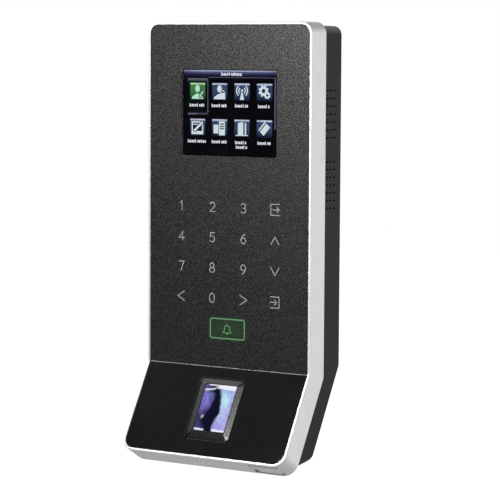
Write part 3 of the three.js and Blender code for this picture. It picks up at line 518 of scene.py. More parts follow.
def satin_silver():
    """Silver lacquer on die-cast metal: a fine metallic flake under a satin coat."""
    made = Finish("satin_silver", metallic=0.8, coat_weight=0.2, coat_roughness=0.25)
    flake = made.cells(0.12)
    mottle = made.noise(6, 3)
    tone = made.mix(made.spread(mottle, 0.3, 0.7), srgb(224, 226, 227), srgb(232, 233, 234))
    tone = made.mix(made.spread(flake, 0.1, 0.6, 0, 0.25), tone, srgb(206, 208, 211))
    rough = made.spread(made.noise(0.3, 2), 0.3, 0.7, 0.44, 0.54)
    return made.faced(tone, rough, made.noise(0.25, 3), 0.004)


def charcoal_panel():
    """Textured dark film with a bright speckle, lit green from behind round the bell key."""
    made = Finish("charcoal_panel", specular_ior_level=0.66, emission_strength=1)
    grain = made.noise(0.7, 2, 0.6)
    speckle = made.cells(0.8)
    cloud = made.noise(9, 2)
    base = made.mix(made.spread(grain, 0.4, 0.62), srgb(1, 1, 1), srgb(28, 28, 27))
    base = made.mix(made.spread(speckle, 0.1, 0.34, 0.7, 0), base, srgb(64, 63, 59))
    base = made.mix(made.spread(cloud, 0.35, 0.65, 0, 0.25), base, srgb(12, 13, 14))
    made.use("Base Color", base)
    made.use("Roughness", made.spread(grain, 0.4, 0.62, 0.5, 0.3))
    # A share of dark metal dulls the pits of the texture. An export drops a varying specular level.
    made.use("Metallic", made.spread(made.noise(0.68, 1, 0.5), 0.38, 0.62, 0.55, 0))
    made.use("Normal", made.bump(grain, 0.02, made.bump(speckle, 0.045)))
    x, _, z = made.axes()
    across = made.calc("SUBTRACT", made.calc("ABSOLUTE", x), BELL_WIDTH / 2)
    along = made.calc("ABSOLUTE", made.calc("SUBTRACT", z, BELL_MIDDLE + ORIGIN.z / MM))
    away = made.calc("MAXIMUM", across, made.calc("SUBTRACT", along, BELL_HEIGHT / 2))
    glow = made.spread(away, -4.5, 2.4, 0.34, 0)
    made.use("Emission Color", made.mix(glow, (0, 0, 0, 1), srgb(20, 84, 30)))
    return made.material


def gloss_black():
    """Piano-black cover with the faint dust and wipe marks such a face picks up."""
    made = Finish("gloss_black", coat_weight=0.6, coat_roughness=0.04)
    wipe = made.noise(4, 3, 0.6, made.stretched(1, 1, 0.15))
    dust_and_sheen = made.cells(1.7)
    fleck = made.spread(dust_and_sheen, 0.02, 0.06, 1, 0)
    base = made.mix(made.calc("MULTIPLY", fleck, 0.25), srgb(20, 21, 21), srgb(90, 90, 88))
    return made.faced(base, made.spread(wipe, 0.35, 0.7, 0.12, 0.16), made.noise(14, 2), 0.01)


def moulded(name, low, high, grain_size, rise, rough, shine=0.5, dust_and_sheen=0):
    """Moulded plastic with a spark-eroded grain, and a painted sheen that makes it paler where it faces up.
    """
    made = Finish(name, specular_ior_level=shine)
    grain = made.noise(grain_size, 4, 0.65)
    cloud = made.noise(12, 3)
    base = made.mix(made.spread(grain, 0.3, 0.7), low, high)
    base = made.mix(made.spread(cloud, 0.3, 0.7, 0, 0.2), base, low)
    # Painted sheen: faces that look up are mixed towards pale grey, as if lit from above.
    if dust_and_sheen:
        up = made.node("SeparateXYZ", {0: made.node("TexCoord").outputs["Normal"]}).outputs["Z"]
        base = made.mix(made.spread(up, 0.1, 1, 0, dust_and_sheen), base, srgb(176, 174, 170))
    return made.faced(base, made.spread(grain, 0.3, 0.7, rough + 0.06, rough - 0.06), grain, rise)


def metal(name, colour, dark, rough, stretch=(1, 1, 1)):
    """Bare or plated metal with a drawn or tumbled surface."""
    made = Finish(name, metallic=1)
    grain = made.noise(0.4, 3, 0.6, made.stretched(*stretch))
    stain = made.noise(5, 3)
    base = made.mix(made.spread(grain, 0.3, 0.7), dark, colour)
    base = made.mix(made.spread(stain, 0.5, 0.75, 0, 0.3), base, dark)
    return made.faced(base, made.spread(stain, 0.3, 0.7, rough - 0.06, rough + 0.1), grain, 0.003)


def zinc_sheet():
    """Galvanised steel sheet with its spangle."""
    made = Finish("zinc_sheet", metallic=1)
    inputs = {"Vector": made.place, "Scale": 1 / (7 * MM)}
    spangle = made.node("TexVoronoi", inputs).outputs["Color"]
    tone = made.node("SeparateColor", {0: spangle}).outputs[0]
    fine = made.noise(0.5, 3)
    base = made.mix(tone, srgb(150, 154, 158), srgb(182, 186, 190))
    base = made.mix(made.spread(fine, 0.3, 0.7, 0, 0.3), base, srgb(140, 143, 147))
    return made.faced(base, made.spread(tone, 0, 1, 0.32, 0.5), fine, 0.004)


def circuit_board(name, mask, copper):
    """Solder mask over traces, with pads and vias showing tin."""
    made = Finish(name, coat_weight=0.3, coat_roughness=0.15)
    x = made.axes()[0]
    lane = made.calc("PINGPONG", made.calc("ADD", x, made.calc("MULTIPLY", made.noise(9, 1), 14)), 0.8)
    trace = made.spread(lane, 0.36, 0.44)
    via = made.spread(made.cells(3.4), 0.1, 0.13, 1, 0)
    base = made.mix(via, made.mix(trace, mask, copper), srgb(190, 188, 180))
    made.use("Metallic", made.calc("MULTIPLY", via, 0.9))
    return made.faced(base, made.spread(made.noise(1.2, 2), 0.3, 0.7, 0.28, 0.42), trace, 0.03)


def clear_glass(name, tint):
    """Clear cover glass with faint wipe marks."""
    made = Finish(name, base_color=tint, transmission_weight=1, ior=1.49)
    wipe = made.noise(5, 3, 0.6, made.stretched(1, 1, 0.2))
    made.use("Roughness", made.spread(wipe, 0.45, 0.75, 0.0, 0.03))
    return made.material


UNLIT = (0.002, 0.002, 0.003, 1)  # the display's own colour


def display_finish(name):
    """A face of the display: dark by itself, and seen only by what it shines."""
    return Finish(name, base_color=UNLIT, roughness=0.6, specular_ior_level=0, emission_strength=1)


HALF_PIXEL = 0.0765  # of the display, in millimetres


def lit(name, colour, strength, dark=UNLIT):
    """Something that shines by itself, such as a drawn shape on the display."""
    made = Finish(name, base_color=dark, roughness=0.5, specular_ior_level=0.1, emission_strength=strength)
    grid = made.calc("PINGPONG", made.axes()[0], HALF_PIXEL)
    made.use("Emission Color", made.mix(made.spread(grid, 0, 0.03, 0.2, 0), colour, (0, 0, 0, 1)))
    return made.material


SCREEN_ZERO = WINDOW_MIDDLE + ORIGIN.z / MM  # the display's middle, as a height in the row frame
TILE_ROWS = (8.95, -6.5)
TILE_COLUMNS = (-17.1, -5.7, 5.7, 17.1)
TILE_WIDTH, TILE_HEIGHT = 7.7, 7.35


def screen_ground():
    """The display's black ground with its title bar's gradient."""
    made = display_finish("screen_ground")
    x, _, z = made.axes()
    height = made.calc("SUBTRACT", z, SCREEN_ZERO)
    bar = made.ramp(
        made.spread(height, 14, 18.3),
        (0, srgb(2, 2, 5)),
        (0.25, srgb(10, 10, 24)),
        (0.55, srgb(34, 34, 66)),
        (0.78, srgb(88, 92, 134)),
        (0.9, srgb(170, 176, 204)),
        (0.97, srgb(196, 200, 220)),
    )
    aside = made.calc("ABSOLUTE", x)
    shown = made.mix(made.spread(aside, 16, 25, 0, 0.45), bar, srgb(8, 8, 14))
    border = made.calc("MAXIMUM", made.spread(aside, 24.3, 24.45), made.spread(height, 18.05, 18.15))
    made.use("Emission Color", made.mix(border, shown, grey(0.0006)))
    return made.material


def tile_face(name, crest, upper_tone, lower_tone):
    """An icon's tile: a bright crest over a gradient, repeated for each row of tiles."""
    made = display_finish(name)
    z = made.axes()[2]
    foot = SCREEN_ZERO + TILE_ROWS[1] - TILE_HEIGHT / 2
    rise = made.calc("WRAP", z, foot + TILE_ROWS[0] - TILE_ROWS[1], foot)
    share = made.calc("DIVIDE", made.calc("SUBTRACT", rise, foot), TILE_HEIGHT)
    tone = made.ramp(share, (0, lower_tone), (0.45, upper_tone), (0.88, upper_tone), (0.93, crest))
    patch = made.noise(3, 2)
    made.use("Emission Color", made.mix(made.spread(patch, 0.4, 0.7, 0, 0.35), tone, lower_tone))
    return made.material


def selection_glass():
    """The glassy box behind the chosen icon: lit along its top edge and at one foot."""
    made = display_finish("selection_glass")
    height = made.calc("SUBTRACT", made.axes()[2], SCREEN_ZERO)
    crest = made.ramp(
        made.spread(height, 12, 14.7),
        (0, srgb(9, 11, 14)),
        (0.5, srgb(28, 36, 42)),
        (0.8, srgb(92, 98, 110)),
    )
    foot = made.spread(height, -0.9, 0.1, 0.5, 0)
    made.use("Emission Color", made.mix(foot, crest, srgb(120, 110, 150)))
    return made.material


def sensor_glass():
    """The prism's lit face: pale light down both sides of a dark middle, and bright lines at its ends."""
    made = Finish("sensor_glass", base_color=(0.003, 0.003, 0.01, 1), roughness=0.05, emission_strength=1)
    x, _, z = made.axes()
    across = made.spread(x, -GLASS_WIDTH / 2, GLASS_WIDTH / 2)
    top = ORIGIN.z / MM + (GLASS_MIDDLE + GLASS_LENGTH / 2) * COS
    down = made.spread(z, top, top - GLASS_LENGTH * COS)

    def window(value, low, high, soft=0.015):
        rise = made.spread(value, low - soft, low + soft)
        return made.calc("MULTIPLY", rise, made.spread(value, high - soft, high + soft, 1, 0))

    waver = made.calc("SUBTRACT", made.noise(6, 2, 0.5), 0.5)
    streak = made.noise(1.3, 3, 0.6, made.stretched(1, 1, 0.2), 0.4)
    left = made.ramp(
        down,
        (0.1, srgb(96, 90, 160)),
        (0.25, srgb(140, 136, 226)),
        (0.48, srgb(124, 116, 196)),
        (0.7, srgb(64, 58, 104)),
    )
    left = made.mix(made.spread(streak, 0.4, 0.75, 0, 0.7), left, srgb(36, 32, 70))
    right = made.ramp(
        down,
        (0.1, srgb(160, 184, 226)),
        (0.3, srgb(196, 238, 250)),
        (0.6, srgb(180, 196, 236)),
        (0.95, srgb(158, 156, 222)),
    )
    right = made.mix(made.spread(across, 0.82, 0.95, 0, 0.7), right, srgb(180, 176, 238))
    right = made.mix(made.spread(streak, 0.45, 0.8, 0, 0.6), right, srgb(110, 112, 168))
    # The dark finger shadow between two wandering edges.
    left_edge = ((0.05, 0.2), (0.2, 0.4), (0.5, 0.33), (0.75, 0.2), (0.95, 0.34))
    right_edge = ((0.05, 0.5), (0.3, 0.58), (0.6, 0.7), (0.8, 0.6), (1, 0.58))
    shadow_left = made.ramp(down, *[(share, grey(across_at)) for share, across_at in left_edge])
    shadow_right = made.ramp(down, *[(share, grey(across_at)) for share, across_at in right_edge])
    wandering = made.calc("ADD", across, made.calc("MULTIPLY", waver, 0.16))
    past_left = made.calc("SUBTRACT", wandering, shadow_left)
    past_right = made.calc("SUBTRACT", wandering, shadow_right)
    glow = made.mix(made.spread(past_left, -0.16, 0.02, 1, 0), srgb(4, 7, 20), left)
    glow = made.mix(made.spread(past_right, -0.02, 0.07), glow, right)
    sloped = made.calc("ADD", down, made.calc("MULTIPLY", waver, 0.08))
    rising = made.calc("ADD", sloped, made.calc("MULTIPLY", across, 0.08))
    shifted = made.calc("ADD", across, made.calc("MULTIPLY", waver, 0.3))
    gleams = (
        (window(sloped, -1, 0.03), window(across, 0.1, 2)),
        (window(sloped, -1, 0.095), window(shifted, 0.4, 2, 0.08)),
        (window(rising, 0.12, 0.155), window(across, -1, 0.34)),
        (window(sloped, 0.965, 2), window(across, 0.02, 0.33)),
        (window(sloped, 0.97, 2), window(across, 0.6, 2)),
        (window(rising, 0.7, 0.84, 0.04), window(shifted, 0.75, 0.77, 0.015)),
        (window(rising, 0.7, 0.76, 0.03), window(shifted, 0.16, 0.2, 0.03)),
    )
    white = None
    for tall, wide in gleams:
        shape = made.calc("MULTIPLY", tall, wide)
        white = shape if white is None else made.calc("MAXIMUM", white, shape)
    made.use("Emission Color", made.mix(made.calc("MULTIPLY", white, 0.9), glow, srgb(244, 244, 255)))
    return made.material


SILVER = satin_silver()
CHARCOAL = charcoal_panel()
GLOSS = gloss_black()
# The case gets the painted sheen on its upward faces through its last number.
CASE = moulded("case_grey", srgb(10, 11, 12), srgb(21, 22, 23), 0.5, 0.012, 0.44, 0.14, dust_and_sheen=0.55)
INNER = moulded("inner_plastic", srgb(24, 25, 26), srgb(38, 39, 40), 0.8, 0.01, 0.45)
BEZEL = moulded("bezel_plastic", srgb(8, 8, 9), srgb(16, 16, 17), 0.6, 0.0015, 0.25, 0.4)
NYLON = moulded("nylon_white", srgb(214, 210, 198), srgb(236, 233, 224), 1.1, 0.008, 0.5)
# Pale grey for the strip along the fold: a painted highlight standing in for light caught by the panels'
# edges there.
FOLD_HIGHLIGHT_GREY = moulded("fold_highlight_grey", srgb(150, 150, 148), srgb(172, 172, 170), 0.9, 0.004, 0.4)
CHIP = moulded("chip_black", srgb(22, 22, 23), srgb(40, 40, 42), 0.3, 0.008, 0.55)
SEAL = moulded("seal_black", srgb(14, 14, 14), srgb(26, 26, 26), 0.5, 0.02, 0.8)
RELAY = moulded("relay_blue", srgb(22, 66, 138), srgb(36, 88, 166), 1.2, 0.006, 0.35)
GUIDE = moulded("light_guide", srgb(90, 180, 116), srgb(122, 206, 146), 1.5, 0.004, 0.3)
FILM = moulded("film_amber", srgb(178, 112, 40), srgb(206, 142, 66), 1.5, 0.003, 0.35)
STEEL = metal("steel", srgb(188, 190, 194), srgb(140, 142, 146), 0.32)
TIN = metal("tin", srgb(200, 202, 204), srgb(160, 162, 164), 0.3, stretch=(1, 1, 0.1))
BRASS = metal("brass_contact", srgb(222, 184, 100), srgb(176, 138, 62), 0.28)
ZINC = zinc_sheet()
BOARD = circuit_board("circuit_board", srgb(16, 74, 42), srgb(30, 104, 58))
CLEAR = clear_glass("clear_window", (0.9, 0.92, 0.94, 1))
PRINT = lit("key_print", srgb(150, 152, 150), 0.16, srgb(126, 126, 124))
BELL_PRINT = lit("bell_print", srgb(88, 134, 92), 0.9, srgb(40, 66, 44))
GROUND = screen_ground()
WHITE = lit("screen_white", srgb(226, 238, 242), 1.0)
LABEL = lit("screen_label", srgb(236, 238, 244), 1.5)
MINT = lit("screen_mint", srgb(198, 240, 212), 1.0)
DIM = lit("screen_dim", srgb(120, 122, 140), 1.0)
INK = lit("screen_ink", srgb(16, 26, 48), 1.0)
BLUE_TILE = tile_face("tile_blue", srgb(206, 214, 236), srgb(60, 76, 112), srgb(12, 20, 42))
GREEN_TILE = tile_face("tile_green", srgb(196, 236, 176), srgb(66, 134, 70), srgb(8, 44, 26))
SELECTION = selection_glass()
SENSOR = sensor_glass()

# ---------------- frame
LIP_ROUND = 0.5  # the rim's round outer edge
LIP_STEPS = 5
INNER_EDGE = 0.1
frame_profile = [(0.2, FRAME_DEPTH, LOWER_FRAME_DEPTH), (0, FRAME_DEPTH - 0.2, LOWER_FRAME_DEPTH - 0.2)]
for i in range(LIP_STEPS + 1):
    turn = math.pi / 2 * i / LIP_STEPS
    lip_depth = LIP_ROUND * (1 - math.sin(turn))
    frame_profile.append((LIP_ROUND * (1 - math.cos(turn)), lip_depth, lip_depth))
frame_profile += [
    (RIM - INNER_EDGE, 0, 0),
    (RIM, INNER_EDGE, INNER_EDGE),
    (RIM, REBATE, REBATE),
    (FRAME_WALL, REBATE, REBATE),
    (FRAME_WALL, FRAME_DEPTH, LOWER_FRAME_DEPTH),
]


def inset_ring(inset, depth, lower_depth):
    return bent_ring(
        WIDTH / 2 - inset,
        depth,
        lower_depth,
        UPPER_HEIGHT - inset,
        LOWER_LENGTH - inset,
        TOP_RADIUS - inset,
        END_RADIUS - inset,
    )


COVER_LEFT, PIN_X, PIN_DROP = 23.6, 36.9, 41
COVER_FRONT, COVER_BACK, COVER_THICKNESS = 2.35, 8.9, 0.95
BARREL, PIN = 0.85, 0.45
PORT_X, PORT_DEPTH, PORT_WIDTH, PORT_HEIGHT = 30.3, 5.6, 13.1, 5.7
PORT_MOUTH, PORT_LENGTH = 39.4, 12

SEAM = 0.7  # between the cover and the frame, in front and behind
cover_pocket = slab(
    (COVER_LEFT - 0.3, PIN_X + BARREL + 0.35),
    (COVER_FRONT - SEAM, COVER_BACK + SEAM),
    (-LOWER_LENGTH - 2, -(PIN_DROP - 0.1)),
    0.1,
    CUT_EDGE,
).kicked()
barrel_room = plain(
    (PIN_X - BARREL - 0.35, PIN_X + BARREL + 0.34),
    (COVER_FRONT - 0.15, COVER_BACK + 0.15),
    (-PIN_DROP, -PIN_DROP + BARREL + 0.25),
).kicked()
port_mouth = plain(
    centred(PORT_X, PORT_WIDTH + 0.7),
    centred(PORT_DEPTH, PORT_HEIGHT + 0.4),
    (-LOWER_LENGTH - 1, -LOWER_LENGTH + FRAME_WALL + 1),
).kicked()
PIN_ROOM, PIN_DEPTHS = PIN + 0.07, (2.1, 10.1)
pin_hole = rod(PIN_ROOM, PIN_DEPTHS, PIN_X, -PIN_DROP, 16).kicked()

piece(
    "silver_frame",
    skin([inset_ring(*ring) for ring in frame_profile], loop=True),
    SILVER,
    stands_for="trim_frame",
    slot="satin_silver",
    cuts=[cover_pocket, barrel_room, port_mouth, pin_hole],
)

# ---------------- panels
gasket_section = box_outline((0.02, 0.15), (0.35, 1.9))
gasket_profile = [(RIM + side, depth, depth) for side, depth in gasket_section]
piece(
    "face_gasket",
    skin([inset_ring(*ring) for ring in gasket_profile], loop=True),
    SEAL,
    slot="seal_black",
)

FOLD_CORNER = 0.25  # of each panel, beside the fold


def front_panel(heights, radius, low_radius, edge, steps=2):
    """A front panel between two heights, with its own corners at the top and at the bottom."""
    xs = (-PANEL_HALF, PANEL_HALF)
    return loft(
        lambda inset: rounded(xs, heights, radius, inset, low_radius, steps=8),
        eased(PANEL_FRONT, PANEL_BACK, edge, steps),
    )


WINDOW_ROOM = 0.3
ACROSS_PANEL = (-1, 3)  # depths that go right through a front panel
window_opening = slab(
    centred(0, WINDOW_WIDTH + WINDOW_ROOM),
    ACROSS_PANEL,
    centred(WINDOW_MIDDLE, WINDOW_HEIGHT + WINDOW_ROOM),
    0.35,
    CUT_EDGE,
)
piece(
    "keypad_panel",
    front_panel((FOLD_GAP, PANEL_TOP), TOP_RADIUS - RIM, FOLD_CORNER, 0.18),
    CHARCOAL,
    stands_for="touch_panel",
    slot="charcoal_panel",
    cuts=[window_opening],
)

sensor_opening = loft(
    lambda inset: rounded(
        centred(0, SENSOR_WIDTH), centred(SENSOR_MIDDLE, SENSOR_LENGTH), 2.2, inset, steps=8
    ),
    [(-0.4, -1), (-0.34, PANEL_FRONT), (0, PANEL_FRONT + 0.34), (0, 3)],
)
mic_profile = [(0.75, -1), (0.7, PANEL_FRONT), (0.5, PANEL_FRONT + 0.2), (0.5, 3)]
mic_opening = turned(mic_profile, MIC_X, MIC_HEIGHT, 24)
piece(
    "finger_panel",
    front_panel((-FASCIA_END, -0.15), FOLD_CORNER, END_RADIUS - RIM, 0.22, 3).kicked(),
    GLOSS,
    stands_for="sensor_fascia",
    slot="gloss_black",
    cuts=[sensor_opening.kicked(), mic_opening.kicked()],
)

# A thin strip between the two panels along the fold, coloured pale grey: a painted highlight line where the
# panels' edges catch the light.
piece(
    "fold_highlight_strip",
    brick(centred(0, 2 * PANEL_HALF - 0.6), (PANEL_FRONT + 0.05, PANEL_BACK), (-0.1, 0.1), 0.05).kicked(),
    FOLD_HIGHLIGHT_GREY,
    slot="nylon_white",
)

# ---------------- key legends
PRINT_WIDTH = 0.42
RING = 24


def turn_half(path):
    return [(-x, -z) for x, z in path]


def mirrored(path):
    return [(-x, z) for x, z in path]


three_top = arc((-0.1, 1.0), (1.15, 1.0), 150, -90, 14)
three_bowl = arc((-0.1, -0.98), (1.3, 1.02), 90, -150, 14)
five_bowl = arc((-0.05, -0.68), (1.25, 1.32), 125, -145, 14)
six_bowl = ellipse((0, -0.78), (1.2, 1.22), RING)
six_stem = [(0.75, 2.0), (0.1, 1.72), (-0.5, 1.2), (-0.95, 0.45), (-1.17, -0.4)]
chevron = [(1.6, 2.05), (-1.9, 0), (1.6, -2.05)]
peak = [(-2.05, -1.6), (0, 1.6), (2.05, -1.6)]
bracket = [(2.1, 2.35), (-2.2, 2.35), (-2.2, -2.35), (2.1, -2.35)]
arrow_head = [(0.8, 1.15), (1.95, 0), (0.8, -1.15)]
# Each legend is a list of lines; a line marked True is closed.
LEGENDS = {
    "0": [(ellipse((0, 0), (1.25, 2.0), RING), True)],
    "1": [([(-0.75, 1.25), (0.2, 2.0), (0.2, -2.0)], False)],
    "2": [(arc((0, 0.82), (1.2, 1.18), 165, -38, 14) + [(-1.25, -2.0), (1.3, -2.0)], False)],
    "3": [(three_top + three_bowl[1:], False)],
    "4": [([(0.6, -2.0), (0.6, 2.0), (-1.35, -0.85), (1.4, -0.85)], False)],
    "5": [([(1.1, 2.0), (-0.85, 2.0), (-1.0, 0.25)] + five_bowl, False)],
    "6": [(six_bowl, True), (six_stem, False)],
    "7": [([(-1.25, 2.0), (1.3, 2.0), (-0.35, -2.0)], False)],
    "8": [
        (ellipse((0, 1.02), (1.0, 0.98), RING), True),
        (ellipse((0, -0.98), (1.25, 1.02), RING), True),
    ],
    "9": [(turn_half(six_bowl), True), (turn_half(six_stem), False)],
    "leave": [(bracket, False), ([(-1.1, 0), (1.9, 0)], False), (arrow_head, False)],
    "enter": [
        (mirrored(bracket), False),
        ([(-2.3, 0), (0.9, 0)], False),
        ([(x - 1.0, z) for x, z in arrow_head], False),
    ],
    "up": [(peak, False)],
    "down": [([(x, -z) for x, z in peak], False)],
    "left": [(chevron, False)],
    "right": [(mirrored(chevron), False)],
}
KEY_ROWS = (
    ("1", "2", "3", "leave"),
    ("4", "5", "6", "up"),
    ("7", "8", "9", "down"),
    ("left", "0", "right", "enter"),
)


def drawn(lines, width, x=0, height=0):
    """A legend's lines, printed on the panel at a place."""
    parts = []
    for path, closed in lines:
        parts.append(stroke([(px + x, pz + height) for px, pz in path], width, closed))
    return together(parts)


for row, names in enumerate(KEY_ROWS):
    for column, legend in zip(KEY_COLUMNS, names):
        piece(
            "legend_" + legend,
            drawn(LEGENDS[legend], PRINT_WIDTH, column, KEY_TOP_ROW - row * KEY_PITCH),
            PRINT,
            crease=60,
        )

bell_box = rounded(centred(0, BELL_WIDTH), centred(BELL_MIDDLE, BELL_HEIGHT), 0.9, steps=5)
bell_side = [(1.32, 0.35), (1.42, -0.45), (1.75, -1.05), (2.15, -1.4)]
bell_curve = mirrored(bell_side[::-1]) + arc((0, 0.45), 1.32, 180, 0, 12)[1:-1] + bell_side
bell_lines = [
    (bell_curve, True),
    (arc((0, -1.5), (0.62, 0.55), 185, 355, 8), False),
    ([(0, 1.85), (0, 2.15)], False),
]
piece("bell_outline", stroke(bell_box, 0.6, closed=True), BELL_PRINT, crease=60, slot="light_guide")
piece("bell_sign", drawn(bell_lines, 0.45, -0.1, BELL_MIDDLE - 0.25), BELL_PRINT, crease=60)

# ---------------- display
window_xs, window_heights = centred(0, WINDOW_WIDTH), centred(WINDOW_MIDDLE, WINDOW_HEIGHT)
piece(
    "display_lens",
    slab(window_xs, (PANEL_FRONT, PANEL_BACK), window_heights, 0.25, 0.08),
    CLEAR,
    stands_for="display_window",
    slot="clear_window",
)
LCD_WIDTH, LCD_HEIGHT, LCD_BACK = 57, 41.4, 3.2
PIXELS = 2.55  # depth of the image
piece(
    "display_ground",
    slab(centred(0, LCD_WIDTH), (PIXELS, LCD_BACK), centred(WINDOW_MIDDLE, LCD_HEIGHT), 0.2, 0.03),
    GROUND,
    stands_for="lcd_glass",
    slot="lcd_cell",
)
LAYER = 0.035


def layer(level):
    """The depths of a shape drawn on the display, level by level towards the front."""
    return (PIXELS + 0.01 - LAYER * (level - 1), PIXELS - LAYER * level)


def on_screen(outline, level, x=0, z=0):
    return flat_shape([(px + x, pz + z + WINDOW_MIDDLE) for px, pz in outline], layer(level))


def bar(start, stop, width):
    """A straight bar's outline, from one point to another."""
    a, b = Vector(start), Vector(stop)
    run = (b - a).normalized()
    aside = Vector((-run.y, run.x)) * width / 2
    return [tuple(a - aside), tuple(b - aside), tuple(b + aside), tuple(a + aside)]


def band(centre, radius, width, start, stop, steps=10):
    """A curved bar's outline."""
    outer = arc(centre, radius + width / 2, start, stop, steps)
    return outer + arc(centre, radius - width / 2, stop, start, steps)


def gear(radius, teeth):
    outline = []
    for tooth in range(teeth):
        for share, reach in ((0, 0.78), (0.2, 0.78), (0.3, 1), (0.7, 1), (0.8, 0.78)):
            angle = 2 * math.pi * (tooth + share) / teeth
            outline.append((radius * reach * math.cos(angle), radius * reach * math.sin(angle)))
    return outline


head = ellipse((-0.1, 1.25), (1.2, 1.55), 20)
shoulders = [(-3.1, -3.2), (-2.75, -2.2), (-1.5, -1.45), (-0.6, -0.95)]
shoulders += [(0.4, -0.95), (1.3, -1.45), (2.5, -2.2), (2.9, -3.2)]
person = [head, shoulders]
disc_big = ellipse((-0.5, 0.6), 0.9, 16)
disc_small = ellipse((1.35, -1.2), 0.55, 12)
# Each icon is a list of (outline, level, is dark).
ICONS = (
    [(shape, 2, False) for shape in person]
    + [(bar((0.9, -2.7), (3.0, 0.5), 1.35), 3, True), (bar((1.1, -2.4), (2.8, 0.2), 0.7), 4, False)],
    [(shape, 2, False) for shape in person]
    + [
        (ellipse((1.5, -0.2), 1.25, 14), 3, True),
        (band((1.5, -0.3), 0.85, 0.4, -10, 190), 4, False),
        (box_outline((0.3, 2.8), (-2.9, -0.5)), 4, False),
    ],
    [
        ([(-1.1, -3.3), (1.1, -3.3), (0.3, -0.2), (-0.3, -0.2)], 2, False),
        (ellipse((0, 0.6), 0.55, 12), 2, False),
    ]
    + [(band((0, 0.6), r, 0.5, a - 48, a + 48), 2, False) for r in (1.6, 2.75) for a in (0, 180)],
    [
        ([(x - 0.5, z + 0.6) for x, z in gear(2.6, 8)], 2, False),
        ([(x + 1.35, z - 1.2) for x, z in gear(1.65, 7)], 2, False),
        (disc_big, 3, True),
        (disc_small, 3, True),
    ],
    [
        (box_outline((-3.1, 2.9), (-3.0, 2.6)), 2, False),
        (box_outline((-2.5, 2.3), (-1.6, 1.1)), 3, True),
        (box_outline((-2.5, 2.3), (1.5, 2.0)), 3, True),
        (bar((-1.9, -1.7), (2.9, 2.5), 1.7), 4, True),
        (bar((-1.7, -1.5), (2.7, 2.3), 1.0), 5, False),
    ],
    [
        (box_outline((-3.1, 0.4), (-2.4, 1.3)), 2, False),
        (box_outline((-0.6, 3.0), (-3.3, 2.9)), 3, True),
        (box_outline((-0.3, 2.8), (-3.2, 2.8)), 4, False),
    ]
    + [(box_outline((0.3, 2.3), heights), 5, True) for heights in ((1.4, 1.9), (0.4, 0.9), (-0.6, -0.1))],
    [
        ([(-2.0, -2.7), (0.7, -3.1), (0.7, 2.7), (-2.0, 2.3)], 2, False),
        (box_outline((1.5, 2.2), (-2.8, 2.4)), 2, False),
        (box_outline((-3.1, 3.1), (-3.2, -2.8)), 2, False),
    ],
    [
        (bar((-1.7, -1.7), (1.5, 1.9), 3.6), 2, False),
        (bar((-2.35, -1.1), (0.85, 2.5), 0.45), 3, True),
    ],
)

SCREEN_FINISHES = {
    "blue": BLUE_TILE,
    "green": GREEN_TILE,
    "white": WHITE,
    "label": LABEL,
    "mint": MINT,
    "ink": INK,
}
screen_parts = {kind: [] for kind in SCREEN_FINISHES}
for number, shapes in enumerate(ICONS):
    x, z = TILE_COLUMNS[number % 4], TILE_ROWS[number // 4]
    first = number == 0
    tile = rounded(centred(0, TILE_WIDTH), centred(0, TILE_HEIGHT), 0.35, steps=3)
    screen_parts["green" if first else "blue"].append(on_screen(tile, 1, x, z))
    for outline, level, is_dark in shapes:
        kind = "ink" if is_dark else ("mint" if first else "white")
        screen_parts[kind].append(on_screen(outline, level * 0.8, x, z))


MARK_STROKE = 0.22


def mock_text(left, right, middle, x_height):
    """A row of small upright marks that stands for a line of writing without spelling anything."""
    marks = []
    x, step = left, 0
    pattern = ((0.74, 1.35), (0.6, 1.0), (0.4, 1.0), (0.7, 1.0), (0.3, 1.4), (0.6, 1.0), (0.46, 1.15))
    while x < right - 0.3:
        wide, tall = pattern[step % len(pattern)]
        low = middle - x_height / 2
        crossing = low + x_height * (0.8 if step % 2 else 0.02)
        marks.append(box_outline((x, x + MARK_STROKE), (low, low + x_height * tall)))
        marks.append(box_outline((x + wide - MARK_STROKE, x + wide), (low, low + x_height * min(tall, 1))))
        marks.append(box_outline((x, x + wide), (crossing, crossing + MARK_STROKE)))
        x += wide + (0.36 if step % 6 != 4 else 0.8)
        step += 1
    return marks


LABELS = (
    (-21.3, -13.5, 2.95),
    (-9.8, -1.9, 2.9),
    (2.2, 8.5, 2.95),
    (13.9, 19.9, 2.85),
    (-22.1, -12.6, -12.6),
    (-9.7, -2.0, -12.6),
    (2.3, 8.5, -12.7),
    (2.7, 8.6, -14.7),
    (13.7, 20.2, -12.7),
    (-4.9, 5.0, 16.4),
)
for left, right, middle in LABELS:
    for mark in mock_text(left, right, middle, 1.05):
        screen_parts["label"].append(on_screen(mark, 1))

for kind, material in SCREEN_FINISHES.items():
    piece("screen_" + kind, together(screen_parts[kind]), material, slot="lcd_cell")
# Thin lines under the title, beside the tiles and round the chosen tile.
THIN_LINES = (
    ((-11.5, 22.6), (15.02, 15.16)),
    ((22.2, 22.55), (-6.6, 15.0)),
    ((-11.95, -11.75), (0, 13.6)),
    ((-22.2, -17.5), (-0.95, -0.6)),
)
thin_lines = together([on_screen(box_outline(*sides), 1) for sides in THIN_LINES])
piece("screen_lines", thin_lines, DIM, slot="lcd_cell")
chosen_box = on_screen(rounded((-22.4, -11.7), (-0.9, 14.7), 0.8, steps=4), 0.5)
piece("screen_selection", chosen_box, SELECTION, slot="lcd_cell")

